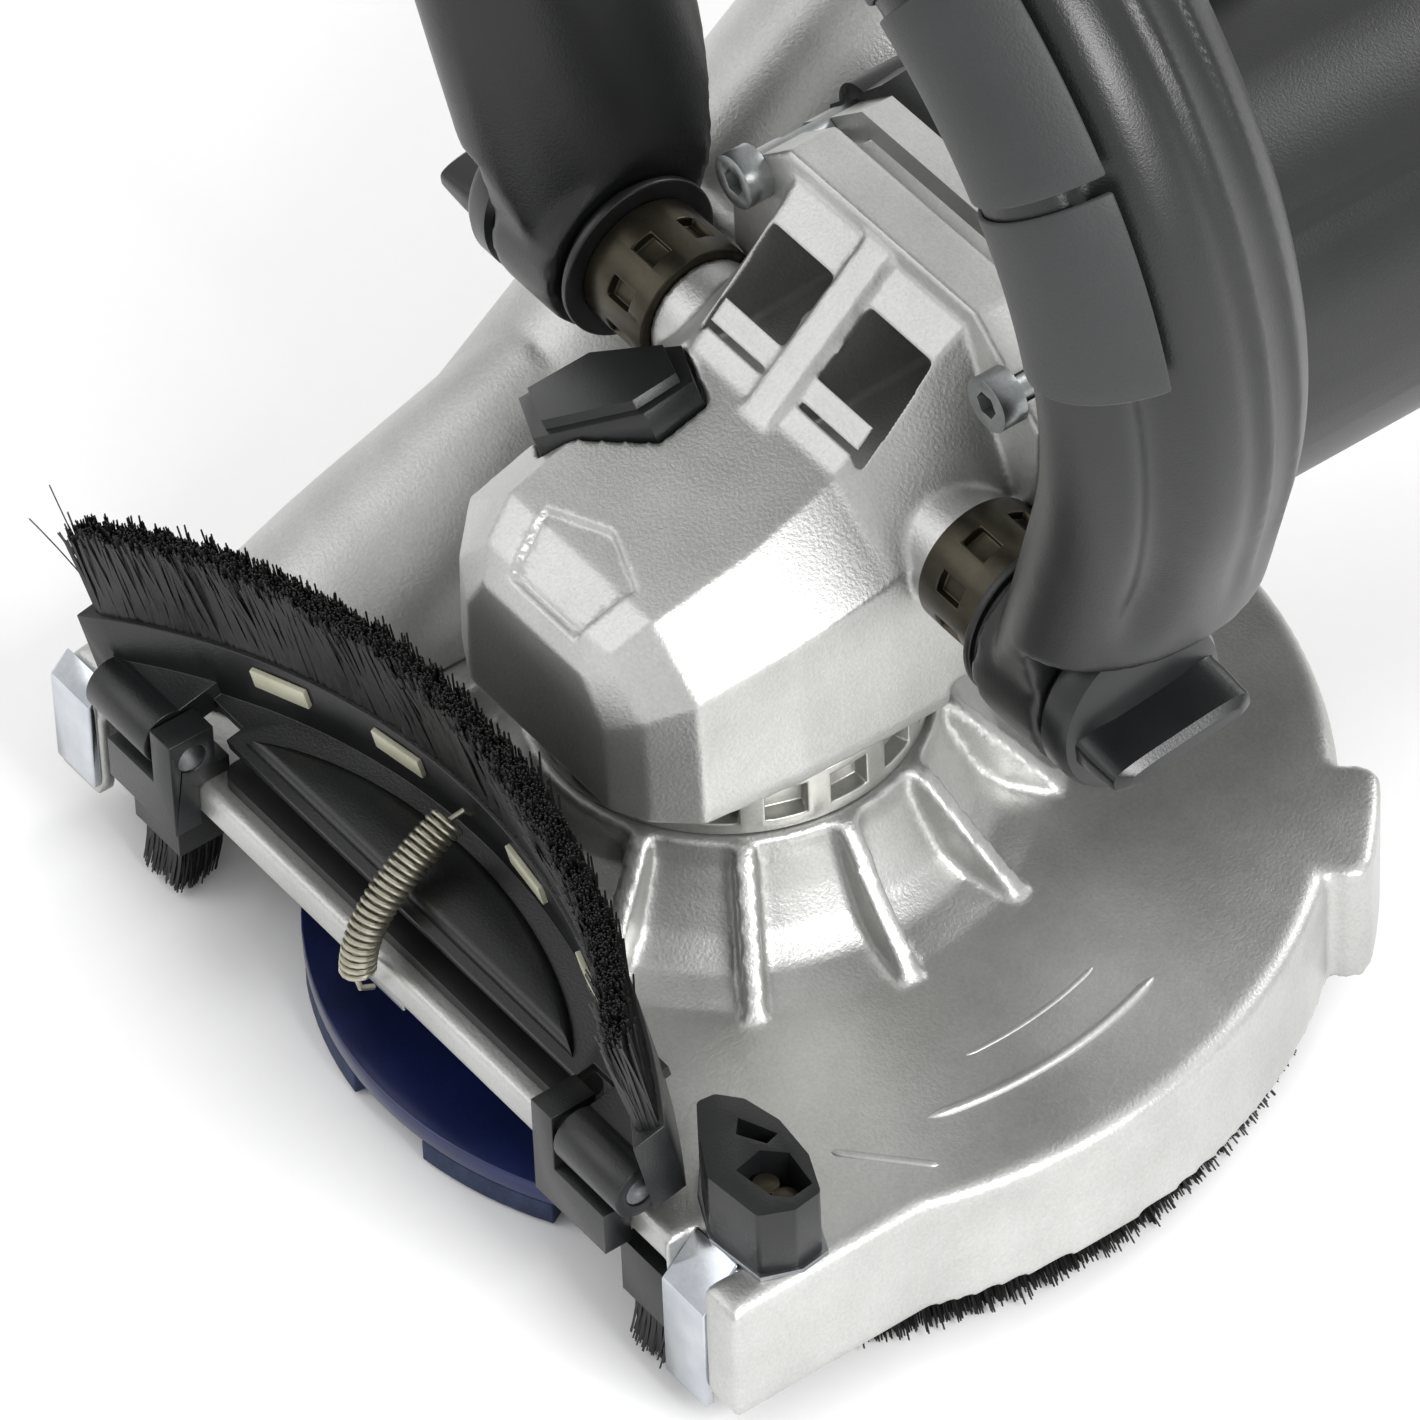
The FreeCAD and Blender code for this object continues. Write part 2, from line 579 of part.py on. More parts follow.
# ---------------------------------------------------------------- gears and shafts
def bevel_gear(teeth, pitch_r, pitch_angle, face_width, fill):
    """Straight bevel gear: axis +Z, apex of its pitch cone at the origin, teeth by a loop."""
    angle = math.radians(pitch_angle)
    cone = pitch_r / math.sin(angle)
    module = 2 * pitch_r / teeth
    def ring_point(distance, offset, turn):
        radius = distance * math.sin(angle) + offset * math.cos(angle)
        height = distance * math.cos(angle) - offset * math.sin(angle)
        return V(radius * math.cos(turn), radius * math.sin(turn), -height)
    near = cone - face_width
    root, tip = -1.05 * module, 0.8 * module
    top, foot = ring_point(near, root, 0), ring_point(cone, root, 0)
    blank = turned([(0.01, top.z), (top.x, top.z), (foot.x, foot.z), (foot.x - 0.6, foot.z - 3.5),
                    (0.01, foot.z - 3.5)])
    half = math.pi / teeth * fill
    tooth_wires = []
    for distance in (near, cone):
        scale = distance / cone
        low, high = (root - 0.25) * scale, tip * scale
        corners = [ring_point(distance, low, -half * 0.72), ring_point(distance, high, -half * 0.3),
                   ring_point(distance, high, half * 0.3), ring_point(distance, low, half * 0.72)]
        tooth_wires.append(outline(corners))
    tooth = skin(tooth_wires)
    return blank.fuse([spun(tooth, 360 * i / teeth) for i in range(teeth)]).removeSplitter()


def crown_gear():
    """Large bevel gear on the spindle, teeth up."""
    cone = math.degrees(math.atan(GEAR_RATIO))
    gear = bevel_gear(PINION_TEETH * GEAR_RATIO, CROWN_R, cone, GEAR_FACE, TOOTH_FILL)
    gear.translate(V(0, 0, MOTOR_Z))
    return gear.cut(rod(SPINDLE_R, V(0, 0, 40), Z, 60))


def pinion():
    """Small bevel gear on the front end of the armature shaft."""
    cone = math.degrees(math.atan(1 / GEAR_RATIO))
    gear = bevel_gear(PINION_TEETH, CROWN_R / GEAR_RATIO, cone, GEAR_FACE, TOOTH_FILL)
    gear.rotate(V(0, 0, 0), Z, 90 + 180 / PINION_TEETH)
    gear.rotate(V(0, 0, 0), X, 90)
    gear.translate(V(0, 0, MOTOR_Z))
    return gear.cut(rod(3.5, V(0, 0, MOTOR_Z), Y, 60))


def spindle():
    """Output shaft with a seat for the gear and a threaded end for the disc."""
    shaft = rod(SPINDLE_R, V(0, 0, 7.0), Z, 72)
    shoulder = rod(9.5, V(0, 0, 24.2), Z, 6)
    tip = rod(4.0, V(0, 0, 78.9), Z, 3.0)
    bore = rod(2.5, V(0, 0, 6), Z, 8)
    return fuse(shaft, shoulder, tip).cut(bore)


def cup_disc():
    """Cup-shaped steel disc body with air holes."""
    body = turned([(11.15, 14.2), (27, 14.2), (36, 4.4), (DISC_R, 4.0), (DISC_R, DISC_EDGE_TOP),
                   (39, DISC_EDGE_TOP + 0.2), (30, 17.6), (11.15, 17.6)])
    holes = [spun(rod(5.0, V(45, 0, 0), Z, 12), 360 * (i + 0.5) / 6) for i in range(6)]
    return body.cut(holes)


def diamond_segments():
    """Ring segments that grind, spaced under the disc's edge."""
    ring = tube(DISC_R, 54.0, V(0, 0, 0), Z, SEGMENT_H)
    out = []
    for i in range(SEGMENT_COUNT):
        a = 2 * math.pi * i / SEGMENT_COUNT
        half = math.radians(10.5)
        wedge = plan([(0, 0), (90 * math.cos(a - half), 90 * math.sin(a - half)),
                      (90 * math.cos(a + half), 90 * math.sin(a + half))], 0, SEGMENT_H)
        out.append(ring.common(wedge))
    return group(out)


def clamp_flange():
    """Upper clamping flange with a centring step for the disc."""
    body = turned([(SPINDLE_R, 14.4), (11.1, 14.4), (11.1, 17.62), (20, 17.62), (20, 21), (14, 24.1),
                   (SPINDLE_R, 24.1)])
    return body


def lock_nut():
    """Round nut below the disc with four pin holes."""
    nut = tube(18.5, SPINDLE_R, V(0, 0, 8.2), Z, 5.9)
    holes = [spun(rod(2.5, V(14, 0, 8), Z, 4), 90 * i) for i in range(4)]
    return nut.cut(holes)


def armature():
    """Shaft and laminated core of the motor."""
    shaft = rod(3.5, V(0, 8.2, MOTOR_Z), Y, 136)
    core = rod(19.5, V(0, 68, MOTOR_Z), Y, 42)
    slots = [spun(box(-1.1, 1.1, 67, 111, MOTOR_Z + 15, MOTOR_Z + 21), 30 * i, V(0, 0, MOTOR_Z), Y)
             for i in range(12)]
    return fuse(shaft, core).cut(slots)


def armature_windings():
    """Winding heads at both ends of the core."""
    return group([tube(17.5, 6.5, V(0, y, MOTOR_Z), Y, length) for y, length in ((61, 6.9), (110.1, 8))])


def commutator():
    """Copper commutator."""
    barrel = tube(12.0, 3.5, V(0, 119.5, MOTOR_Z), Y, 14)
    cuts = [spun(box(-0.3, 0.3, 119, 134, MOTOR_Z + 10.5, MOTOR_Z + 13), 20 * i, V(0, 0, MOTOR_Z), Y)
            for i in range(18)]
    return barrel.cut(cuts)


def fan():
    """Cooling fan behind the motor flange."""
    hub = tube(8.0, 3.5, V(0, 51.6, MOTOR_Z), Y, 9)
    plate = tube(29.5, 7.5, V(0, 58.8, MOTOR_Z), Y, 1.8)
    blade = box(-1.0, 1.0, 52.2, 59.5, MOTOR_Z + 12, MOTOR_Z + 29)
    return fuse(hub, plate, *[spun(blade, 36 * i, V(0, 0, MOTOR_Z), Y) for i in range(10)])


# ---------------------------------------------------------------- motor
def flange_holes(y0, length, radius):
    """Four holes on the flange's screw pattern."""
    return [rod(radius, V(x, y0, MOTOR_Z + z), Y, length)
            for x in (-FLANGE_SCREW_X, FLANGE_SCREW_X) for z in (-FLANGE_SCREW_Z, FLANGE_SCREW_Z)]


def motor_flange():
    """Aluminium plate that closes the gear case and holds the front bearing."""
    start = FLANGE_Y + FLANGE_T + 0.05
    plate = flange_plan(start, start + 4.4, 4.0).fuse([flange_plan(start + 4.4, MOTOR_FRONT - 0.05, 0.0)])
    seat = rod(13.0, V(0, 20, MOTOR_Z), Y, 60)
    vents = [box(x0, x0 + 15, start - 1, MOTOR_FRONT + 1, MOTOR_Z + 17, MOTOR_Z + 26) for x0 in (-19, 4)]
    return plate.cut([seat] + vents + flange_holes(start - 1, 16, 2.6)).removeSplitter()


def motor_housing():
    """Moulded motor casing: flanged front running into a round barrel."""
    def ring(y, half, up, down, corner):
        points = [(half, -down * corner), (half, up * corner), (half * corner, up), (-half * corner, up),
                  (-half, up * corner), (-half, -down * corner), (-half * corner, -down),
                  (half * corner, -down)]
        return outline([V(x, y, MOTOR_Z + z) for x, z in points])
    front = skin([ring(MOTOR_FRONT, 37.5, 37.5, 39.5, 0.66), ring(MOTOR_FRONT + 7, 39.5, 38.5, 41.5, 0.62),
                  ring(MOTOR_FRONT + 24, 36, 36, 36, 0.4142)])
    bosses = [rod(5.2, V(x, MOTOR_FRONT, MOTOR_Z + z), Y, 14)
              for x in (-FLANGE_SCREW_X, FLANGE_SCREW_X) for z in (-FLANGE_SCREW_Z, FLANGE_SCREW_Z)]
    barrel = rod(MOTOR_R, V(0, MOTOR_FRONT + 12, MOTOR_Z), Y, MOTOR_BACK - MOTOR_FRONT - 12)
    bore = rod(MOTOR_R - 3, V(0, MOTOR_FRONT - 1, MOTOR_Z), Y, MOTOR_BACK - MOTOR_FRONT + 2)
    caps = [rod(8.06, V(side * 25, 126, MOTOR_Z), X * side, 16) for side in (-1, 1)]
    holes = flange_holes(MOTOR_FRONT - 1, 10, 2.5)
    return front.fuse([barrel] + bosses).cut([bore] + caps + holes).removeSplitter()


def stator():
    """Field pack: laminated ring with two pole gaps."""
    pack = tube(MOTOR_R - 3.1, 20.6, V(0, 70, MOTOR_Z), Y, 38)
    gaps = [box(-5, 5, 69, 109, MOTOR_Z + s * 24 - 4.5, MOTOR_Z + s * 24 + 4.5) for s in (-1, 1)]
    return pack.cut(gaps)


def rear_bearing_bridge():
    """Spider that carries the armature's rear bearing."""
    hub = tube(12.4, 9.0, V(0, 137, MOTOR_Z), Y, 8)
    rim = tube(MOTOR_R - 3.1, MOTOR_R - 6, V(0, 137, MOTOR_Z), Y, 8)
    arms = [spun(box(-2.5, 2.5, 137, 145, MOTOR_Z + 12, MOTOR_Z + 31), 90 * i + 45, V(0, 0, MOTOR_Z), Y)
            for i in range(4)]
    return fuse(hub, rim, *arms)


def carbon_brushes():
    """Carbon blocks that bear on the commutator."""
    return group([box(*sorted((side * 12.2, side * 21)), 123, 129, MOTOR_Z - 3.2, MOTOR_Z + 3.2)
                  for side in (-1, 1)])


def brush_holders():
    """Brass sleeves of the carbon brushes."""
    out = []
    for side in (-1, 1):
        x0, x1 = sorted((side * 14.5, side * 29.0))
        sleeve = box(x0, x1, 121.5, 130.5, MOTOR_Z - 4.7, MOTOR_Z + 4.7)
        out.append(sleeve.cut(box(x0 - 1, x1 + 1, 123, 129, MOTOR_Z - 3.2, MOTOR_Z + 3.2)))
    return group(out)


def brush_caps():
    """Slotted screw caps over the brush holders."""
    out = []
    for side in (-1, 1):
        cap = rod(8.0, V(side * 29.4, 126, MOTOR_Z), X * side, 7.2)
        slot = box(*sorted((side * 35, side * 38)), 119, 133, MOTOR_Z - 1, MOTOR_Z + 1)
        out.append(cap.cut(slot))
    return group(out)


# ---------------------------------------------------------------- rear handle
REAR_ROWS = ((MOTOR_BACK, 36.0, 36.0, 0.0), (MOTOR_BACK + 14, 33.0, 35.0, 0.0),
             (MOTOR_BACK + 34, 24.0, 30.0, 1.0), (MOTOR_BACK + 60, 20.0, 26.0, 2.0),
             (MOTOR_BACK + 120, 19.5, 25.5, 1.0), (MOTOR_BACK + 146, 21.0, 28.0, 0.0),
             (REAR_BACK, 15.0, 20.0, 0.0))


def rear_wire(y, half, tall, lift, inset):
    """Rounded section of the rear handle."""
    steps = 24
    a, b = half - inset, tall - inset
    points = []
    for i in range(steps):
        t = 2 * math.pi * i / steps
        points.append(V(a * math.copysign(abs(math.cos(t)) ** 0.85, math.cos(t)), y,
                        MOTOR_Z + lift + b * math.copysign(abs(math.sin(t)) ** 0.85, math.sin(t))))
    return outline(points)


def rear_half(side):
    """One half shell of the rear handle."""
    outer = skin([rear_wire(*row, 0) for row in REAR_ROWS])
    inner_rows = [(min(max(y, MOTOR_BACK - 1), REAR_BACK - 3), h, t, l) for y, h, t, l in REAR_ROWS]
    inner_rows[0] = (MOTOR_BACK - 1,) + REAR_ROWS[0][1:]
    inner = skin([rear_wire(*row, 2.8) for row in inner_rows])
    shell = outer.cut(inner)
    half = box(0.02, 60, MOTOR_BACK - 2, REAR_BACK + 2, 0, 200) if side > 0 else \
        box(-60, -0.02, MOTOR_BACK - 2, REAR_BACK + 2, 0, 200)
    paddle_hole = box(-7.4, 7.4, 222, 282, 50, MOTOR_Z - 10)
    dial_hole = box(-5.4, 5.4, MOTOR_BACK + 3, MOTOR_BACK + 27, MOTOR_Z + 20, 140)
    gland_hole = rod(7.6, V(0, REAR_BACK - 6, MOTOR_Z), Y, 12)
    return shell.common(half).cut([paddle_hole, dial_hole, gland_hole]).removeSplitter()


def switch_paddle():
    """Long trigger on the underside of the grip."""
    side = [V(-7, 223, 66), V(-7, 281, 66), V(-7, 281, 59), V(-7, 262, 55.2), V(-7, 236, 56), V(-7, 223, 60)]
    blade = prism(side, V(14, 0, 0))
    stem = box(-3, 3, 230, 240, 66, 72)
    return fuse(blade, stem)


def switch_module():
    """Closed switch block above the trigger."""
    return fuse(box(-11, 11, 226, 262, 79.5, 98), box(-3, 3, 231, 239, 76.5, 79.5))


def control_board():
    """Soft-start electronics in a potted tray."""
    return box(-13, 13, 174, 206, 78, 92)


def speed_dial():
    """Thumbwheel of the speed control, with its axle."""
    wheel = rod(9.6, V(-4.6, MOTOR_BACK + 15, MOTOR_Z + 27.2), X, 9.2)
    tooth = box(-4.6, 4.6, MOTOR_BACK + 14.4, MOTOR_BACK + 15.6, MOTOR_Z + 36.2, MOTOR_Z + 37.4)
    teeth = [spun(tooth, 20 * i, V(0, MOTOR_BACK + 15, MOTOR_Z + 27.2), X) for i in range(18)]
    return fuse(wheel, rod(2, V(-7.2, MOTOR_BACK + 15, MOTOR_Z + 27.2), X, 14.4), *teeth)


def dial_carrier():
    """Fork that holds the thumbwheel's axle."""
    cheek = [box(x, x + 2.2, MOTOR_BACK + 10, MOTOR_BACK + 20, MOTOR_Z + 14, MOTOR_Z + 29.8)
             for x in (-7.4, 5.2)]
    base = box(-7.4, 7.4, MOTOR_BACK + 10, MOTOR_BACK + 20, MOTOR_Z + 12, MOTOR_Z + 14)
    hole = rod(2 + FIT, V(-9, MOTOR_BACK + 15, MOTOR_Z + 27.2), X, 18)
    return fuse(base, *cheek).cut(hole)


def cable_gland():
    """Rubber sleeve where the mains lead enters."""
    return turned([(4.2, -14), (7.5, -14), (7.5, 0), (10, 0), (10, 3), (6.8, 6), (6.2, 34), (4.2, 34)],
                  V(0, REAR_BACK - 2.2 + 2.3, MOTOR_Z), Y)


# ---------------------------------------------------------------- bail handle
def clamp_hub(side):
    """Threaded hub on the gear head, with slots round its rim."""
    body = rod(HUB_R, V(side * HUB_START, HUB_Y, HUB_Z), X * side, HUB_END - HUB_START)
    body = body.fuse([rod(HUB_SPIGOT_R, V(side * 28, HUB_Y, HUB_Z), X * side, HUB_START - 27)])
    slots = []
    for i in range(8):
        xa, xb = sorted((side * 37, side * 42))
        slot = box(xa, xb, HUB_Y - 1.8, HUB_Y + 1.8, HUB_Z + HUB_R - 1.6, HUB_Z + HUB_R + 3)
        slots.append(spun(slot, 45 * i + 20, V(0, HUB_Y, HUB_Z), X))
    return body.cut([rod(STUD_R + FIT, V(side * 27, HUB_Y, HUB_Z), X * side, 24)] + slots).removeSplitter()


def clamp_ring(side):
    """Ribbed plastic ring between the hub and the handle's arm."""
    rings = [tube(13.6, 5.0, V(side * 47.5, HUB_Y, HUB_Z), X * side, 1.5),
             tube(12.4, 5.0, V(side * 49.0, HUB_Y, HUB_Z), X * side, 1.3)]
    return fuse(*rings)


def bail_ellipse(grow):
    """Section of the handle at the knee, square to the arch's line."""
    knee = math.radians(BAIL_KNEE)
    ellipse = Part.Ellipse(V(0, 0, 0), BAIL_HALF_WIDE + grow, BAIL_HALF_DEEP + grow)
    wire = Part.Wire([ellipse.toShape()])
    wire.rotate(V(0, 0, 0), Z, 90)
    wire.rotate(V(0, 0, 0), Y, -BAIL_KNEE)
    wire.translate(V(BAIL_R * math.cos(knee), 0, BAIL_CENTRE_Z + BAIL_R * math.sin(knee)))
    return Part.Face(wire)


def bail_arch(grow):
    """Arch with two straight legs, before it is tipped forward."""
    knee = math.radians(BAIL_KNEE)
    face = bail_ellipse(grow)
    arch = face.revolve(V(0, 0, BAIL_CENTRE_Z), Y * -1, 180 - 2 * BAIL_KNEE)
    drop = BAIL_CENTRE_Z + BAIL_R * math.sin(knee) - HUB_Z
    leg = face.extrude(V(math.sin(knee), 0, -math.cos(knee)) * (drop / math.cos(knee)))
    return arch.fuse([leg, mirrored(leg)]).removeSplitter()


def lean(solid):
    """Move to the clamp axis and tip forward about it."""
    out = solid.copy()
    out.translate(V(0, HUB_Y + BAIL_BACK, 0))
    out.rotate(V(0, HUB_Y, HUB_Z), X, BAIL_LEAN)
    return out


def bail_handle():
    """Arched handle with a round boss at each end."""
    bosses = [rod(BOSS_R, V(side * 50.6, HUB_Y, HUB_Z), X * side, 14.9) for side in (-1, 1)]
    inner = [rod(18.4, V(side * 20, HUB_Y, HUB_Z), X * side, 30.55) for side in (-1, 1)]
    outer = [box(*sorted((side * 65.5, side * 95)), HUB_Y - 24, HUB_Y + 24, HUB_Z - 34, HUB_Z + 16.0)
             for side in (-1, 1)]
    heel = prism([V(-100, HUB_Y + 13.5, 60), V(-100, HUB_Y + 13.5, 93), V(-100, HUB_Y + 26, 122),
                  V(-100, HUB_Y + 70, 122), V(-100, HUB_Y + 70, 60)], V(200, 0, 0))
    toe = prism([V(-100, HUB_Y - 13.5, 60), V(-100, HUB_Y - 13.5, 93), V(-100, HUB_Y - 18, 112),
                 V(-100, HUB_Y - 60, 112), V(-100, HUB_Y - 60, 60)], V(200, 0, 0))
    solid = lean(bail_arch(0)).cut([heel, toe]).fuse(bosses).cut(inner + outer)
    holes = [rod(STUD_R + FIT, V(side * 46, HUB_Y, HUB_Z), X * side, 24) for side in (-1, 1)]
    return solid.cut(holes).removeSplitter()


def grip_inserts():
    """Soft pads on the front of the arch, six of them, with narrow gaps between."""
    pads = []
    for start, stop in PAD_ANGLES:
        a, b = math.radians(start), math.radians(stop)
        far = 130.0
        corners = [V(0, -30, BAIL_CENTRE_Z), V(far * math.cos(a), -30, BAIL_CENTRE_Z + far * math.sin(a)),
                   V(far * math.cos(b), -30, BAIL_CENTRE_Z + far * math.sin(b))]
        wedge = prism(corners, V(0, 21, 0))
        pads.append(wedge)
    raised = bail_arch(0.9).cut(bail_arch(0.02))
    return group([lean(raised.common(pad)) for pad in pads])


def wing_knob(side):
    """Clamping knob: collar, flat wing and the stud that screws into the hub."""
    x0 = side * 65.9
    base = rod(14.0, V(x0, HUB_Y, HUB_Z), X * side, 4.6)
    mid = rod(9.0, V(side * 70.5, HUB_Y, HUB_Z), X * side, 6)
    wing = skin([outline([V(side * x, HUB_Y - w, HUB_Z - t), V(side * x, HUB_Y + w, HUB_Z - t),
                          V(side * x, HUB_Y + w, HUB_Z + t), V(side * x, HUB_Y - w, HUB_Z + t)])
                 for x, w, t in ((68, 11.2, 5.0), (74, 11.8, 3.5), (82, 12.0, 2.0))])
    wing = spun(wing, 6, V(0, HUB_Y, HUB_Z), X)
    stud = rod(STUD_R, V(side * 32, HUB_Y, HUB_Z), X * side, 40)
    return fuse(base, mid, wing, stud)


# ---------------------------------------------------------------- spindle lock
def lock_button():
    """Push pad of the spindle lock."""
    return button_shape(0, -4.6, 1.2).fuse([button_shape(-2.4, -6.2, -4.5)]).removeSplitter()


def lock_pin():
    """Steel pin that the pad drives towards the gear."""
    return rod(2.5, BUTTON_AT + BUTTON_IN * 1.2, BUTTON_IN, LOCK_PIN)


# ---------------------------------------------------------------- all nodes
node("hood", hood())
node("suction_duct", suction_duct())
node("duct_liner", duct_liner())
node("hose_connector", hose_connector())
BLOCK, SHIM = corner_block()
node("corner_block", BLOCK)
node("block_shim", SHIM)
node("block_screws", block_screws())
node("wear_plates", group([wear_plate(*row) for row in PLATES]))
node("hinge_bracket_right", hinge_bracket(1))
node("hinge_bracket_left", hinge_bracket(-1))
node("front_seal", front_seal())
node("spring_anchor", spring_anchor())
node("brush_ring", brush_ring())
node("ring_bristles", ring_bristles())
node("float_springs", float_springs())
node("segment_frame", segment_frame())
node("segment_bristles", segment_bristles())
node("segment_clips", segment_clips())
node("segment_pins", segment_pins())
node("segment_spring", segment_spring())
node("neck_ring", neck_ring())
node("gear_head", gear_head())
node("nose_badge", nose_badge())
node("motor_flange", motor_flange())
node("flange_screws", group([socket_screw(V(x, FLANGE_Y, MOTOR_Z + z), Y, length=26)
                             for x in (-FLANGE_SCREW_X, FLANGE_SCREW_X)
                             for z in (-FLANGE_SCREW_Z, FLANGE_SCREW_Z)]))
node("motor_housing", motor_housing())
node("stator", stator())
node("armature", armature())
node("armature_windings", armature_windings())
node("commutator", commutator())
node("fan", fan())
node("pinion", pinion())
node("crown_gear", crown_gear())
node("front_bearing", bearing(13.0, 3.5 + FIT, V(0, 40.5, MOTOR_Z), Y, 8))
node("rear_bearing", bearing(9.0, 3.5 + FIT, V(0, 137.2, MOTOR_Z), Y, 6))
node("rear_bearing_bridge", rear_bearing_bridge())
node("carbon_brushes", carbon_brushes())
node("brush_holders", brush_holders())
node("brush_caps", brush_caps())
node("spindle", spindle())
node("spindle_bearing", bearing(17.0, SPINDLE_R + FIT, V(0, 0, 50.8), Z, 9))
node("cup_disc", cup_disc())
node("diamond_segments", diamond_segments())
node("clamp_flange", clamp_flange())
node("lock_nut", lock_nut())
node("rear_handle_right", rear_half(1))
node("rear_handle_left", rear_half(-1))
node("switch_paddle", switch_paddle())
node("switch_module", switch_module())
node("control_board", control_board())
node("speed_dial", speed_dial())
node("dial_carrier", dial_carrier())
node("cable_gland", cable_gland())
node("bail_handle", bail_handle())
node("grip_inserts", grip_inserts())
node("clamp_hubs", group([clamp_hub(1), clamp_hub(-1)]))
node("clamp_rings", group([clamp_ring(1), clamp_ring(-1)]))
node("wing_knob_right", wing_knob(1))
node("wing_knob_left", wing_knob(-1))
node("lock_button", fuse(lock_button(), lock_pin()))

for name, shape in PARTS.items():
    shape.exportStep("parts/" + name + ".step")
    print(name, len(shape.Solids), shape.isValid(), round(shape.Volume / 1000, 2))
print(len(PARTS), "nodes")
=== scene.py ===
"""Hand-held surface grinder with a dust hood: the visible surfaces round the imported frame."""
import json
import math

import bmesh
import bpy
import numpy as np
from mathutils import Matrix, Vector


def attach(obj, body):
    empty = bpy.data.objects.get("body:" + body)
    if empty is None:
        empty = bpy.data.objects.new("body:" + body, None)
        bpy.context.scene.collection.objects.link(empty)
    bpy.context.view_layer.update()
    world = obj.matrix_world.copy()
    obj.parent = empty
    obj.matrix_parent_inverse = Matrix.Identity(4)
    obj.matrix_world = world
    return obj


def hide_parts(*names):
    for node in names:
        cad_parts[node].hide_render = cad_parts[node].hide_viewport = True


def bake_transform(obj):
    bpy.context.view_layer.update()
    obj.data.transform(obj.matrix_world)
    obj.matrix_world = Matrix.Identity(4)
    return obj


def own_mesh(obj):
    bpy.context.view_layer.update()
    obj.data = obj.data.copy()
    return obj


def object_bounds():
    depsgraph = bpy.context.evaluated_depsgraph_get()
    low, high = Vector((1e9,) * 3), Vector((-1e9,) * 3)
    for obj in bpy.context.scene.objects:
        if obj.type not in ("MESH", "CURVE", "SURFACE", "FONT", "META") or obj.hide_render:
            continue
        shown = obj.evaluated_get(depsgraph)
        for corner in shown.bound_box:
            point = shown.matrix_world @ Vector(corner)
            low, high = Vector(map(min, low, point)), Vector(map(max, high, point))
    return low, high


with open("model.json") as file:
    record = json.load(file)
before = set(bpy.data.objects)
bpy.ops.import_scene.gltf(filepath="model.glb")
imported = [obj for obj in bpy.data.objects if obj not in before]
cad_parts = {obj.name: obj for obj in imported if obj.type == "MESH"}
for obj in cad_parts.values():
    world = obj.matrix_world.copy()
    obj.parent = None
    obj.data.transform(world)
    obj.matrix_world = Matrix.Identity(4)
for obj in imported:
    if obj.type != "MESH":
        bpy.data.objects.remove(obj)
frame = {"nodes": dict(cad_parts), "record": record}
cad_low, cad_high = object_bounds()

MM = 0.001
SAME_POINT = 0.002 * MM
SHARP_EDGE = math.radians(35)
NODES = frame["nodes"]
BODY_OF = {n: b for b, ns in frame["record"]["behaviour"]["bodies"].items() for n in ns}
SLOT_OF = {s["node"]: s["material_slot"] for s in frame["record"]["subparts"]}
rng = np.random.default_rng(7)

# Millimetres, in the part's own frame: spindle axis +Z, nose towards -Y.
HOOD_TOP = 30.5
# Axis of the clamp hubs, then the arch: set back from that axis, radius, centre, lean and half section.
HUB_Y, HUB_Z = 21.0, 90.0
BAIL_BACK, BAIL_R, BAIL_CENTRE_Z, BAIL_LEAN = 5.0, 77.5, 156.0, math.radians(3.0)
BAIL_HALF_ACROSS, BAIL_HALF_FRONT_BACK = 14.0, 21.0
# Front segment: middle of its hinge, radius and half width of its arc, and how far open it stands at rest.
SEG_X, SEG_Y, SEG_Z = -4.2, -62.4, 36.6
SEG_ARC_R, SEG_HALF = 124.0, 69.0
SEG_OPEN = math.radians(167.6)
SEG_CENTRE_Y = SEG_Y - 2.7 + math.sqrt(SEG_ARC_R ** 2 - SEG_HALF ** 2)


# ---------------------------------------------------------------- finishes
def linear(colour):
    """sRGB hex to linear red, green, blue, alpha."""
    parts = np.array([int(colour[i:i + 2], 16) for i in (1, 3, 5)]) / 255.0
    out = np.where(parts <= 0.04045, parts / 12.92, ((parts + 0.055) / 1.055) ** 2.4)
    return (*out.tolist(), 1.0)


def add(tree, kind, settings=None, values=None, links=None):
    """One shader node with its settings, socket values and incoming links."""
    made = tree.nodes.new(kind)
    for key, value in (settings or {}).items():
        setattr(made, key, value)
    for key, value in (values or {}).items():
        made.inputs[key].default_value = value
    for key, source in (links or {}).items():
        tree.links.new(source, made.inputs[key])
    return made


FINE_SHARE = 0.45
BUMP_DEPTH = 0.3 * MM
COAT_ROUGHNESS = 0.12


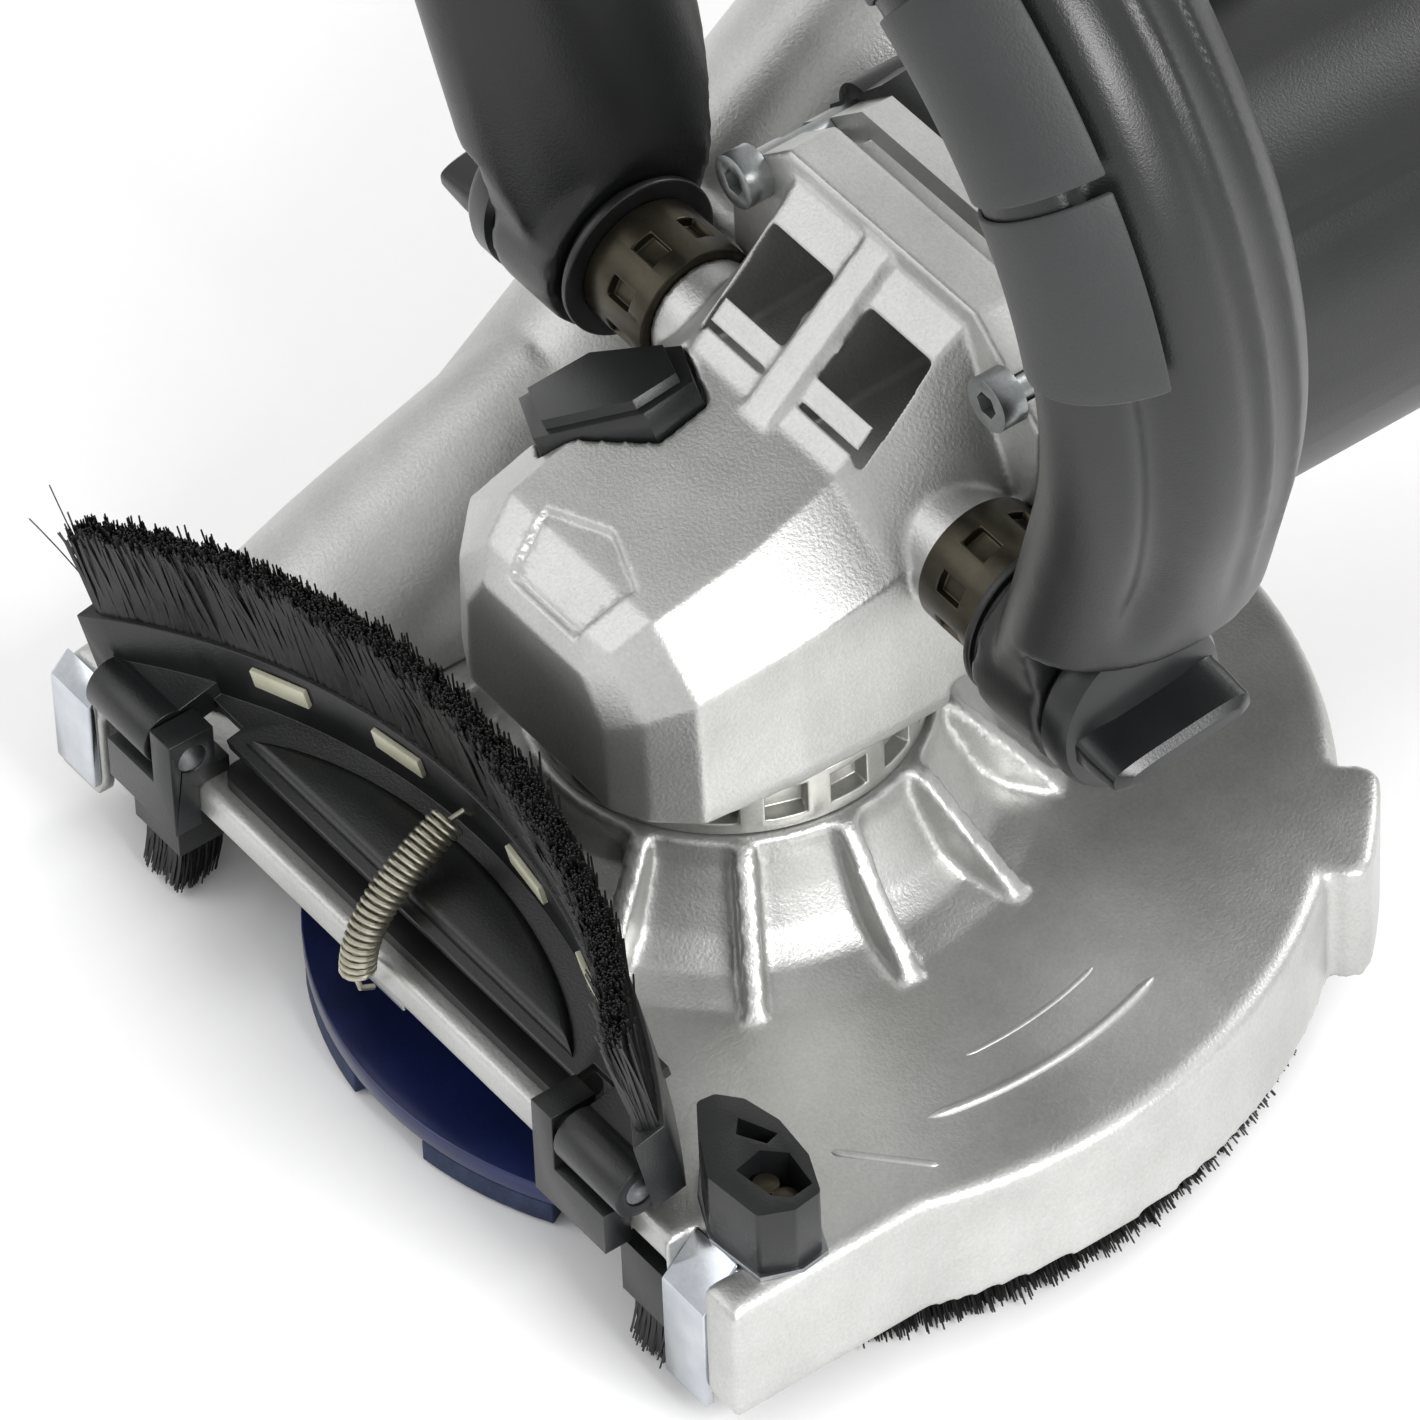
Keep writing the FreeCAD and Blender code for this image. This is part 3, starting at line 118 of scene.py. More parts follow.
def finish_of(name, light, dark, rough, metallic=0.0, grain=0.5, bump=0.1, patch=18.0, spread=0.06,
              stretch=(1, 1, 1), coat=0.0, sheen=0.0):
    """Surface with two colours mixed in soft patches, a fine grain in the bump, and uneven roughness.
    The mix is a soft noise plus 0.45 times a fine one, the roughness goes from rough minus spread to rough
    plus spread with the soft noise, and the fine noise is the height of the bump. grain and patch are the
    widths of the two noises in millimetres. A stretch above 1 narrows the grain along that axis, so that it
    reads as lines across it."""
    material = bpy.data.materials.new(name)
    material.use_nodes = True
    tree = material.node_tree
    tree.nodes.clear()
    place = add(tree, "ShaderNodeTexCoord")
    mapping = add(tree, "ShaderNodeMapping", values={"Scale": stretch},
                  links={"Vector": place.outputs["Object"]})
    fine = add(tree, "ShaderNodeTexNoise",
               values={"Scale": 1.0 / (grain * MM), "Detail": 3.0, "Roughness": 0.6},
               links={"Vector": mapping.outputs["Vector"]})
    soft = add(tree, "ShaderNodeTexNoise",
               values={"Scale": 1.0 / (patch * MM), "Detail": 4.0, "Roughness": 0.55},
               links={"Vector": place.outputs["Object"]})
    blend = add(tree, "ShaderNodeMath", {"operation": "MULTIPLY_ADD"}, {1: FINE_SHARE},
                {0: fine.outputs["Fac"], 2: soft.outputs["Fac"]})
    ramp = add(tree, "ShaderNodeMapRange", values={"From Min": 0.45, "From Max": 1.0},
               links={"Value": blend.outputs[0]})
    colour = add(tree, "ShaderNodeMix", {"data_type": "RGBA"}, {6: linear(dark), 7: linear(light)},
                 {0: ramp.outputs["Result"]})
    uneven = add(tree, "ShaderNodeMapRange", values={"To Min": rough - spread, "To Max": rough + spread},
                 links={"Value": soft.outputs["Fac"]})
    relief = add(tree, "ShaderNodeBump", values={"Strength": bump, "Distance": BUMP_DEPTH},
                 links={"Height": fine.outputs["Fac"]})
    shader = add(tree, "ShaderNodeBsdfPrincipled",
                 values={"Metallic": metallic, "Coat Weight": coat, "Coat Roughness": COAT_ROUGHNESS,
                         "Sheen Weight": sheen},
                 links={"Base Color": colour.outputs[2], "Roughness": uneven.outputs["Result"],
                        "Normal": relief.outputs["Normal"]})
    add(tree, "ShaderNodeOutputMaterial", links={"Surface": shader.outputs["BSDF"]})
    return material


# Where a grain is said to be drawn at a size, the real one is finer and wouldn't show.
# Blasted die casting: pale and satin, broken by a sand grain of about 0.4 mm, drawn at 0.55 mm.
CAST = finish_of("blasted_die_cast_aluminium", "#d2d2d0", "#acacaa", 0.42, 0.9, 0.55, 0.28, 30.0)
# Machined ring: a little darker and warmer than the casting, and smoother; tool marks drawn at 0.6 mm.
TURNED = finish_of("machined_aluminium", "#c4c4c0", "#9f9f9a", 0.38, 0.95, 0.6, 0.1, 14.0)
# Glass-filled nylon: a soft grey sheen on black from the mould's spark grain of 0.1 mm, drawn at 0.45 mm.
NYLON = finish_of("moulded_black_nylon", "#1b1c1d", "#101112", 0.34, 0.0, 0.45, 0.18, 20.0)
# The same nylon in broad shells: long even highlights; spark grain drawn at 0.4 mm.
HANDLE = finish_of("spark_textured_black_nylon", "#1c1d1d", "#101111", 0.34, 0.0, 0.4, 0.2, 30.0)
# Soft pads: greyer and duller than the nylon, with a faint glow at grazing angles; grain drawn at 0.5 mm.
GRIP = finish_of("soft_grip_elastomer", "#2d2e2f", "#222324", 0.55, 0.0, 0.5, 0.25, 22.0, sheen=0.1)
# Knobs from a smoother mould: tighter highlights on the wings; grain drawn at 0.4 mm.
KNOB = finish_of("satin_moulded_knob_nylon", "#1e1f20", "#131415", 0.3, 0.0, 0.4, 0.1, 16.0)
# Rubber: deeper black with hardly any highlight; grain drawn at 0.6 mm.
RUBBER = finish_of("black_nitrile_rubber", "#141415", "#0c0c0d", 0.5, 0.0, 0.6, 0.12, 12.0)
# Dark conversion coat on turned hubs: a brown sheen, with turning marks of about 0.1 mm round the x axis.
OLIVE = finish_of("dark_bronze_anodised_steel", "#4c473a", "#2e2b23", 0.3, 0.75, 0.7, 0.06, 9.0,
                  stretch=(6, 1, 1))
# Polished plate: reflects its surround almost sharply; level polishing lines of about 0.06 mm.
POLISHED = finish_of("polished_stainless_steel", "#d3d6da", "#aeb4bd", 0.16, 1.0, 0.5, 0.03, 8.0, 0.04,
                     (1, 1, 8))
# Ground steel: an even grey shine; grinding marks drawn at 0.5 mm.
STEEL = finish_of("ground_steel", "#a2a4a6", "#84868a", 0.3, 1.0, 0.5, 0.06, 8.0)
# Drawn wire: pale and faintly yellow, a bright line along each coil; die marks drawn at 0.4 mm.
WIRE = finish_of("drawn_spring_wire", "#c9c6b6", "#94917f", 0.32, 0.9, 0.4, 0.05, 3.0)
# Zinc plating: a soft, cool grey shine on screw heads; crystals drawn at 0.4 mm.
SCREW = finish_of("zinc_plated_steel", "#a4a7a7", "#7d8080", 0.33, 1.0, 0.4, 0.06, 4.0)
# Hardened gears: darker, with tight highlights on the teeth; cutter marks drawn at 0.5 mm.
GEAR = finish_of("hardened_gear_steel", "#868a8e", "#64686c", 0.28, 1.0, 0.5, 0.05, 6.0)
# Powder coat: deep blue under a gloss, with its orange peel about 0.8 mm wide.
BLUE = finish_of("navy_powder_coat_gloss", "#16245c", "#0a1338", 0.3, 0.2, 0.8, 0.05, 24.0, coat=0.35)
# Sintered segments: rough and dull, with the diamond grit standing out; grit of 0.4 mm, drawn at 0.5 mm.
SINTERED = finish_of("sintered_diamond_segment", "#3a4563", "#222c46", 0.7, 0.35, 0.5, 0.5, 3.0)
# Acetal clips: smooth, warm and waxy; mould grain drawn at 0.5 mm.
CREAM = finish_of("cream_acetal", "#c6c5b0", "#abaa94", 0.42, 0.0, 0.5, 0.05, 6.0)
# Bristles: lighter and darker ones side by side, as the colour changes every 2 mm.
BRISTLE = finish_of("black_nylon_bristle", "#262625", "#0c0c0c", 0.45, 0.0, 1.2, 0.0, 2.0)
# Grey plastic: dull and even; mould grain drawn at 0.5 mm.
GREY = finish_of("grey_moulded_plastic", "#64676b", "#53565a", 0.5, 0.0, 0.5, 0.12, 14.0)
# Windings: red-brown under varnish, uneven like a layer of 0.8 mm wire.
COPPER = finish_of("enamelled_copper", "#b8683a", "#8a4522", 0.3, 0.85, 0.8, 0.3, 4.0)
# Stamped brass: a warm yellow shine; rolling grain drawn at 0.5 mm.
BRASS = finish_of("stamped_brass", "#b99c58", "#937a3f", 0.32, 1.0, 0.5, 0.06, 6.0)
# Stacked sheets: dark, with lines across the motor's axis, 0.2 mm apart where real sheets are 0.5 mm.
LAMINATED = finish_of("varnished_steel_laminations", "#5c5d62", "#3f4044", 0.45, 0.7, 0.6, 0.3, 6.0,
                      stretch=(0.3, 3, 0.3))
# Pressed carbon: dead black, with powder grain drawn at 0.4 mm.
CARBON = finish_of("pressed_carbon", "#1f1f20", "#141415", 0.6, 0.0, 0.4, 0.2, 3.0)

FINISH = {"cast_aluminium": CAST, "ring_aluminium": TURNED, "badge_plate": CAST, "black_plastic": NYLON,
          "steel": STEEL, "olive_metal": OLIVE, "polished_steel": POLISHED, "black_rubber": RUBBER,
          "bristle": BRISTLE, "spring_steel": WIRE, "cream_plastic": CREAM, "screw_steel": SCREW,
          "motor_plastic": HANDLE, "lamination": LAMINATED, "copper": COPPER, "grey_plastic": GREY,
          "gear_steel": GEAR, "carbon": CARBON, "brass": BRASS, "blue_steel": BLUE, "diamond": SINTERED,
          "handle_plastic": HANDLE, "grip_rubber": GRIP, "knob_plastic": KNOB}
for name, thing in NODES.items():
    thing.data.materials.clear()
    thing.data.materials.append(FINISH[SLOT_OF[name]])


# ---------------------------------------------------------------- making pieces
def keep(thing, body, nodes, finish):
    """Give a finished piece its finish, ride it on its body if it has one, and hide the CAD nodes it stands
    for.
    """
    thing.data.materials.clear()
    thing.data.materials.append(finish)
    if body:
        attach(thing, body)
    if nodes:
        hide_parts(*nodes)
    return thing


def piece(name, points, faces, body, finish, nodes=(), crease=40.0):
    """Mesh from points in millimetres and an array of faces."""
    mesh = bpy.data.meshes.new(name)
    mesh.from_pydata((np.asarray(points, float).reshape(-1, 3) * MM).tolist(), [], [list(f) for f in faces])
    work = bmesh.new()
    work.from_mesh(mesh)
    bmesh.ops.recalc_face_normals(work, faces=work.faces)
    work.to_mesh(mesh)
    work.free()
    mesh.shade_smooth()
    mesh.set_sharp_from_angle(angle=math.radians(crease))
    thing = bpy.data.objects.new(name, mesh)
    bpy.context.scene.collection.objects.link(thing)
    return keep(thing, body, nodes, finish)


def grid_faces(rows, columns):
    """Quads of a grid of points, row by row; the last column joins the first."""
    low = np.arange(rows - 1)[:, None] * columns
    high = low + columns
    here = np.arange(columns)[None, :]
    after = (here + 1) % columns
    return np.stack([low + here, low + after, high + after, high + here], -1).reshape(-1, 4).tolist()


def swept(path, radius, sides=10):
    """Round closed tube: each point of the path carries a circle square to the path's own direction. Its
    first axis is the cross product of that direction with one fixed vector, so the tube doesn't twist."""
    path = np.asarray(path, float)
    along = np.gradient(path, axis=0)
    along /= np.linalg.norm(along, axis=1)[:, None]
    reference = np.array([0.31, 0.17, 0.93])
    first = np.cross(along, reference)
    first /= np.linalg.norm(first, axis=1)[:, None]
    second = np.cross(along, first)
    turn = np.arange(sides) * 2 * np.pi / sides
    ring = np.cos(turn)[None, :, None] * first[:, None] + np.sin(turn)[None, :, None] * second[:, None]
    points = path[:, None] + ring * radius
    last = (len(path) - 1) * sides
    caps = [list(range(sides)), list(range(last, last + sides))]
    return points.reshape(-1, 3), grid_faces(len(path), sides) + caps


def turned(profile, base, axis, sides=96):
    """Profile of (radius, height) points carried round an axis."""
    profile = np.asarray(profile, float)
    axis = np.asarray(axis, float) / np.linalg.norm(axis)
    first = np.cross(axis, [0.13, 0.21, 0.97] if abs(axis[2]) < 0.9 else [1, 0, 0])
    first /= np.linalg.norm(first)
    second = np.cross(axis, first)
    turn = np.arange(sides) * 2 * np.pi / sides
    ring = np.cos(turn)[:, None] * first + np.sin(turn)[:, None] * second
    points = np.asarray(base, float) + profile[:, 0, None, None] * ring + profile[:, 1, None, None] * axis
    return points.reshape(-1, 3), grid_faces(len(profile), sides)


def joined(parts):
    """Several point-and-face sets as one."""
    points, faces, start = [], [], 0
    for part_points, part_faces in parts:
        points.append(part_points)
        faces += [[i + start for i in face] for face in part_faces]
        start += len(part_points)
    return np.concatenate(points), faces


def merged_copy(node, name, others=()):
    """Copy of a CAD node, with others if any, with points closer than SAME_POINT joined."""
    work = bmesh.new()
    for source in (node, *others):
        work.from_mesh(NODES[source].data)
    bmesh.ops.remove_doubles(work, verts=work.verts, dist=SAME_POINT)
    bmesh.ops.dissolve_degenerate(work, dist=SAME_POINT, edges=work.edges)
    mesh = bpy.data.meshes.new(name)
    work.to_mesh(mesh)
    work.free()
    thing = bpy.data.objects.new(name, mesh)
    bpy.context.scene.collection.objects.link(thing)
    return thing


def applied(thing):
    """Turn the piece's modifiers into its mesh."""
    graph = bpy.context.evaluated_depsgraph_get()
    mesh = bpy.data.meshes.new_from_object(thing.evaluated_get(graph))
    thing.modifiers.clear()
    thing.data = mesh
    return thing


def moulded(node, width, segments=2):
    """A machined or moulded piece: the CAD shape with every edge sharper than 28 degrees bevelled round."""
    thing = merged_copy(node, node + "_finished")
    bevel = thing.modifiers.new("edges", "BEVEL")
    bevel.width = width * MM
    bevel.segments = segments
    bevel.limit_method = "ANGLE"
    bevel.angle_limit = math.radians(28.0)
    bevel.use_clamp_overlap = True
    applied(thing)
    thing.data.shade_smooth()
    thing.data.set_sharp_from_angle(angle=SHARP_EDGE)
    return keep(thing, BODY_OF[node], [node], FINISH[SLOT_OF[node]])


def cast(node, voxel, passes, sculpt=None, keep_share=1.0, filled_by=()):
    """A casting: the CAD shape rebuilt on an even grid and relaxed, so that its edges run round as they
    do where metal or plastic fills a mould. sculpt moves the points, given in millimetres, keep_share is
    the part of the triangles that stays, and filled_by names nodes that are cast in one with it."""
    thing = merged_copy(node, node + "_cast", filled_by)
    grid = thing.modifiers.new("grid", "REMESH")
    grid.mode = "VOXEL"
    grid.voxel_size = voxel * MM
    relax = thing.modifiers.new("relax", "SMOOTH")
    relax.factor = 0.5
    relax.iterations = passes
    if keep_share < 1.0:
        thin = thing.modifiers.new("thin", "DECIMATE")
        thin.ratio = keep_share
    applied(thing)
    if sculpt:
        count = len(thing.data.vertices)
        points = np.empty(count * 3, np.float32)
        thing.data.vertices.foreach_get("co", points)
        points = sculpt((points.reshape(-1, 3) / MM).astype(float))
        thing.data.vertices.foreach_set("co", (points * MM).astype(np.float32).ravel())
        thing.data.update()
    thing.data.shade_smooth()
    return keep(thing, BODY_OF[node], [node, *filled_by], FINISH[SLOT_OF[node]])


# ---------------------------------------------------------------- hood, duct and gear head
BEAD_SUNK = 0.05
SHIELD_AT = (-25.5, 89.8)
SHIELD_SLOPE = math.atan2(4.0, 6.0)
SHIELD_CORNERS = [(-11, 4), (0, 8), (11, 4), (8, -7), (-8, -7)]
SHIELD_DEPTH, SHIELD_WALL, SHIELD_REACH = 1.1, 0.9, 6


def bead(path, half, height):
    """Low raised line on the hood: a half-ellipse section carried along a path, sinking at both ends."""
    path = np.asarray(path, float)
    along = np.gradient(path, axis=0)
    along /= np.linalg.norm(along, axis=1)[:, None]
    side = np.cross(along, [0, 0, 1.0])
    t = np.linspace(0, 1, len(path))
    fade = np.clip(np.minimum(t, 1 - t) * 14, 0, 1) ** 0.5
    turn = np.linspace(0, np.pi, 9)
    fade = fade[:, None, None]
    points = path[:, None] + side[:, None] * (np.cos(turn) * half)[None, :, None] * fade
    rise = (np.sin(turn) * height)[None, :, None] * fade - BEAD_SUNK
    return (points + np.array([0, 0, 1.0]) * rise).reshape(-1, 3), grid_faces(len(path), 9)


def arc_on_top(radius, from_degrees, to_degrees, steps=48):
    """Arc on the hood's top plate."""
    a = np.radians(np.linspace(from_degrees, to_degrees, steps))
    return np.stack([radius * np.cos(a), radius * np.sin(a), np.full(steps, HOOD_TOP)], -1)


def hood_lines():
    """Two raised arcs and a short straight line on the hood's top plate."""
    short = np.linspace([67.8, -33.4, HOOD_TOP], [79.6, -22.6, HOOD_TOP], 24)
    parts = [bead(arc_on_top(73.5, -14.6, 19.6), 0.9, 0.75), bead(arc_on_top(65.0, -6.0, 17.0), 0.5, 0.22),
             bead(short, 0.7, 0.4)]
    points, faces = joined(parts)
    return piece("hood_lines", points, faces, "housing", CAST)


def shield_pocket(points):
    """Shallow five-sided pocket in the sloping nose. A point's place in the shield is its least distance to
    the five edges, taken in the plane of the slope. Over 0.9 mm of that the depth eases in, by three t
    squared minus two t cubed, to 1.1 mm. Only points within 6 mm of the plane move."""
    p = points.copy()
    y, z = p[:, 1] - SHIELD_AT[0], p[:, 2] - SHIELD_AT[1]
    up, level = math.sin(SHIELD_SLOPE), math.cos(SHIELD_SLOPE)
    v = y * level + z * up
    w = -y * up + z * level
    corners = np.array(SHIELD_CORNERS, float)
    inside = np.full(len(p), 9.0)
    for a, b in zip(corners, np.roll(corners, -1, axis=0)):
        edge = (b - a) / np.linalg.norm(b - a)
        inside = np.minimum(inside, -(edge[0] * (v - a[1]) - edge[1] * (p[:, 0] - a[0])))
    depth = np.clip((inside + 0.2) / SHIELD_WALL, 0, 1) * (np.abs(w) < SHIELD_REACH)
    depth = depth * depth * (3 - 2 * depth) * SHIELD_DEPTH
    return p - np.array([0, -up, level]) * depth[:, None]


cast("hood", 0.85, 3, keep_share=0.62)
hood_lines()
cast("suction_duct", 1.0, 4)
cast("gear_head", 0.55, 4, shield_pocket, 0.5, ["nose_badge"])
moulded("motor_flange", 0.8, 3)
moulded("neck_ring", 0.3)


# ---------------------------------------------------------------- bristles
def bristle_field(roots, heading, lengths, bend, thick, rings=(0.0, 0.45, 0.8, 1.0)):
    """Many thin three-sided rods. Each point is the root plus the heading times the length times t, plus
    the bend times t squared, with t from 0 at the root to 1 at the tip, where the rod narrows."""
    count = len(roots)
    across = np.cross(heading, [0.21, 0.95, 0.13])
    across /= np.linalg.norm(across, axis=1)[:, None]
    other = np.cross(heading, across)
    t = np.asarray(rings)[None, :, None]
    centre = roots[:, None] + heading[:, None] * lengths[:, None, None] * t + bend[:, None] * t ** 2
    turn = np.arange(3) * 2 * np.pi / 3
    ring = np.cos(turn)[None, :, None] * across[:, None] + np.sin(turn)[None, :, None] * other[:, None]
    width = thick * (1 - 0.45 * t[..., None])
    points = (centre[:, :, None] + ring[:, None] * width).reshape(-1, 3)
    rows = len(rings)
    one = np.array(grid_faces(rows, 3))
    faces = (one[None] + (np.arange(count) * rows * 3)[:, None, None]).reshape(-1, 4).tolist()
    tips = (np.arange(count) * rows * 3)[:, None] + np.arange((rows - 1) * 3, rows * 3)[None]
    ends = (np.arange(count) * rows * 3)[:, None] + np.array([2, 1, 0])[None]
    return points, faces + tips.tolist() + ends.tolist()


def folded(points, angle=-SEG_OPEN):
    """Turn about the hinge of the front segment, from closed to folded back."""
    p = np.array(points, float)
    y, z = p[..., 1] - SEG_Y, p[..., 2] - SEG_Z
    p[..., 1] = SEG_Y + y * math.cos(angle) - z * math.sin(angle)
    p[..., 2] = SEG_Z + y * math.sin(angle) + z * math.cos(angle)
    return p


def segment_brush(count=6500):
    """Bristles of the front segment: rows along its arc, in tufts that lean a little together."""
    limit = math.asin((SEG_HALF - 1.2) / SEG_ARC_R)
    angle = rng.uniform(-limit, limit, count)
    radius = SEG_ARC_R + rng.uniform(-1.6, 1.6, count)
    roots = np.stack([SEG_X + radius * np.sin(angle), SEG_CENTRE_Y - radius * np.cos(angle),
                      np.full(count, SEG_Z - 13.2)], -1)
    tuft = np.round(angle / 0.021)
    lean = np.sin(tuft * 12.9898) * 0.05
    heading = np.stack([lean * np.cos(angle) + rng.normal(0, 0.03, count), rng.normal(0, 0.035, count),
                        -np.ones(count)], -1)
    heading /= np.linalg.norm(heading, axis=1)[:, None]
    lengths = 20.2 + 0.7 * np.sin(tuft * 78.233) + rng.normal(0, 0.55, count)
    bend = rng.normal(0, 0.55, (count, 3)) * [1, 1, 0.1]
    points, faces = bristle_field(roots, heading, np.clip(lengths, 17, 21.3), bend, 0.33)
    points = folded(points)
    points[:, 1] = np.maximum(points[:, 1], cad_low[1] / MM + 0.1)
    return piece("segment_brush", points, faces, "front_segment", BRISTLE, ["segment_bristles"])


RING_ROOT_Z = 9.6


def ring_brush(count=6000):
    """Bristles round the hood's lower edge and in the two front corners, splayed outwards."""
    angle = np.radians(rng.uniform(-38.6, 218.6, count))
    radius = rng.uniform(79.9, 82.6, count)
    out = np.stack([np.cos(angle), np.sin(angle), np.zeros(count)], -1)
    roots = out * radius[:, None] + [0, 0, RING_ROOT_Z]
    corner = 420
    for x0, x1 in ((55.7, 64.8), (-66.8, -57.7)):
        across, along = rng.uniform(x0, x1, corner), rng.uniform(-60.3, -52.4, corner)
        more = np.stack([across, along, np.full(corner, RING_ROOT_Z)], -1)
        roots = np.concatenate([roots, more])
        out = np.concatenate([out, np.tile([0, -0.4, 0], (corner, 1))])
    total = len(roots)
    heading = out * rng.uniform(0.04, 0.12, total)[:, None] + rng.normal(0, 0.035, (total, 3)) * [1, 1, 0]
    heading[:, 2] = -1
    heading /= np.linalg.norm(heading, axis=1)[:, None]
    lengths = np.clip(8.6 + rng.normal(0, 0.45, total), 7.2, 9.1)
    bend = out * rng.uniform(1.6, 4.2, total)[:, None]
    points, faces = bristle_field(roots, heading, lengths, bend, 0.3)
    return piece("ring_brush", points, faces, "brush_ring", BRISTLE, ["ring_bristles"])


def lens_panel():
    """Raised lens on the sheet of the front segment. u runs along x from -1 to 1, and the lens reaches from
    the hinge side by 11.6 mm times one minus u squared to the power 0.8. Across, it rises 1.7 mm over a
    rounded shoulder of 1.5 mm to a top crowned by half a millimetre."""
    u = np.linspace(-1, 1, 91)
    v = np.linspace(0, 1, 23)
    deepest = 11.6
    depth = deepest * np.maximum(1 - u ** 2, 0.0005) ** 0.8
    near = np.minimum(v[None] * depth[:, None], (1 - v[None]) * depth[:, None])
    rise = np.clip(near / 1.5, 0, 1)
    crown = 0.5 * np.sin(np.pi * v)[None] * (depth / deepest)[:, None]
    height = (rise * (2 - rise)) ** 0.5 * 1.7 + crown
    x = np.repeat((SEG_X + 40.5 * u)[:, None], len(v), 1)
    y = -69.4 - v[None] * depth[:, None]
    under = SEG_Z - 0.8
    top = np.stack([x, y, under - height], -1)
    base = np.stack([x[:, ::-1], y[:, ::-1], np.full_like(x, under + 0.6)], -1)
    points = np.concatenate([top, base], axis=1)
    columns = points.shape[1]
    last = (len(u) - 1) * columns
    faces = grid_faces(len(u), columns) + [list(range(columns)), list(range(last, last + columns))]
    return piece("lens_panel", folded(points.reshape(-1, 3)), faces, "front_segment",
                 NYLON, (), 50)


def stray_hairs():
    """Three long bristles that have worked loose at the left end of the front segment, each an arc."""
    t = np.linspace(0, 1, 12)[:, None]
    parts = []
    for root, reach, sag in (((-71.5, -62.3, 53.0), (-13, -3, 10), -2.0),
                             ((-71.0, -63.0, 57.0), (-9, -1, 12), 1.5),
                             ((-70.5, -62.0, 52.0), (-15, 2, 4), -2.0)):
        path = np.array(root) + np.array(reach) * t + np.array([0, 0, sag]) * t ** 2
        parts.append(swept(path, 0.13, 4))
    points, faces = joined(parts)
    return piece("stray_hairs", points, faces, "front_segment", BRISTLE)


segment_brush()
ring_brush()
lens_panel()
stray_hairs()


# ---------------------------------------------------------------- springs
def coil(path, radius, wire, turns, steps=14):
    """Helix wound round a path: each point sits a coil radius from the path, at an angle that grows
    evenly along it."""
    path = np.asarray(path, float)
    length = np.concatenate([[0], np.cumsum(np.linalg.norm(np.diff(path, axis=0), axis=1))])
    s = np.linspace(0, length[-1], int(turns * steps) + 1)
    spine = np.stack([np.interp(s, length, path[:, i]) for i in range(3)], -1)
    along = np.gradient(spine, axis=0)
    along /= np.linalg.norm(along, axis=1)[:, None]
    first = np.cross(along, [1.0, 0, 0.02])
    first /= np.linalg.norm(first, axis=1)[:, None]
    second = np.cross(along, first)
    turn = np.linspace(0, turns * 2 * np.pi, len(s))[:, None]
    return swept(spine + radius * (np.cos(turn) * first + np.sin(turn) * second), wire, 8)


def over_centre_spring():
    """Tension spring over the hood's lip, with a hook at each end. Its middle line is a quadratic curve
    from low to high that bends towards knee."""
    t = np.linspace(0, 1, 60)[:, None]
    low = np.array([SEG_X, -65.1, 30.0])
    knee = np.array([SEG_X, -65.2, 41.6])
    high = np.array([SEG_X, -47.6, 50.2])
    spine = (1 - t) ** 2 * low + 2 * t * (1 - t) * knee + t ** 2 * high
    hook_low = np.array([[SEG_X, -65.1, 30.2], [SEG_X, -65.3, 28.0], [SEG_X, -64.9, 26.2],
                         [SEG_X, -62.6, 25.0]])
    hook_high = np.array([[SEG_X, -47.8, 50.1], [SEG_X + 0.6, -45.4, 51.2], [SEG_X + 0.8, -44.2, 50.0]])
    wire = 0.46
    points, faces = joined([coil(spine, 2.45, wire, 25), swept(hook_low, wire, 8),
                            swept(hook_high, wire, 8)])
    thing = piece("over_centre_spring", points, faces, None, WIRE, ["segment_spring"])
    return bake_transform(thing)


SPRING_CIRCLE_R = 81.5


def pressure_springs():
    """Four compression springs that press the brush ring down."""
    parts = []
    for degrees in (-15, 55, 125, 195):
        a = math.radians(degrees)
        x, y = SPRING_CIRCLE_R * math.cos(a), SPRING_CIRCLE_R * math.sin(a)
        parts.append(coil(np.linspace([x, y, 15.3], [x, y, 26.1], 12), 2.0, 0.32, 7))
    points, faces = joined(parts)
    thing = piece("pressure_springs", points, faces, "housing", WIRE, ["float_springs"])
    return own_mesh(thing)


over_centre_spring()
pressure_springs()


# ---------------------------------------------------------------- bail handle
def bail_sculpt(points):
    """The arch's outer side is scooped along the soft pads and grooved further back. Each point gets its
    angle round the section, in degrees with 0 outwards and the back positive, and moves towards the arch's
    centre: by bell curves in that angle for scoop and groove, and by t times one minus t for the back. The
    effect eases in from 108 to 124 mm above the floor."""
    p = points.copy()
    y, z = p[:, 1] - HUB_Y, p[:, 2] - HUB_Z
    c, s = math.cos(-BAIL_LEAN), math.sin(-BAIL_LEAN)
    flat_y, flat_z = y * c - z * s - BAIL_BACK, y * s + z * c + HUB_Z
    dx, dz = p[:, 0], flat_z - BAIL_CENTRE_Z
    reach = np.hypot(dx, dz)
    out = np.stack([dx, np.zeros_like(dx), dz], -1) / reach[:, None]
    across = reach - BAIL_R
    around = np.degrees(np.arctan2(flat_y / BAIL_HALF_FRONT_BACK, across / BAIL_HALF_ACROSS))
    high = np.clip((flat_z - 108.0) / 16.0, 0, 1)
    high = high * high * (3 - 2 * high)
    scoop = np.exp(-((around + 29) / 11) ** 2) * 3.2
    groove = np.exp(-((around - 11) / 6) ** 2) * 0.8
    back = np.clip((around - 20) / 22, 0, 1)
    p -= out * ((scoop + groove + back * (1 - back) * 5.0) * high)[:, None]
    return p


cast("bail_handle", 1.1, 5, bail_sculpt)
moulded("grip_inserts", 0.45, 3)
moulded("clamp_hubs", 0.5, 3)
moulded("clamp_rings", 0.4, 3)


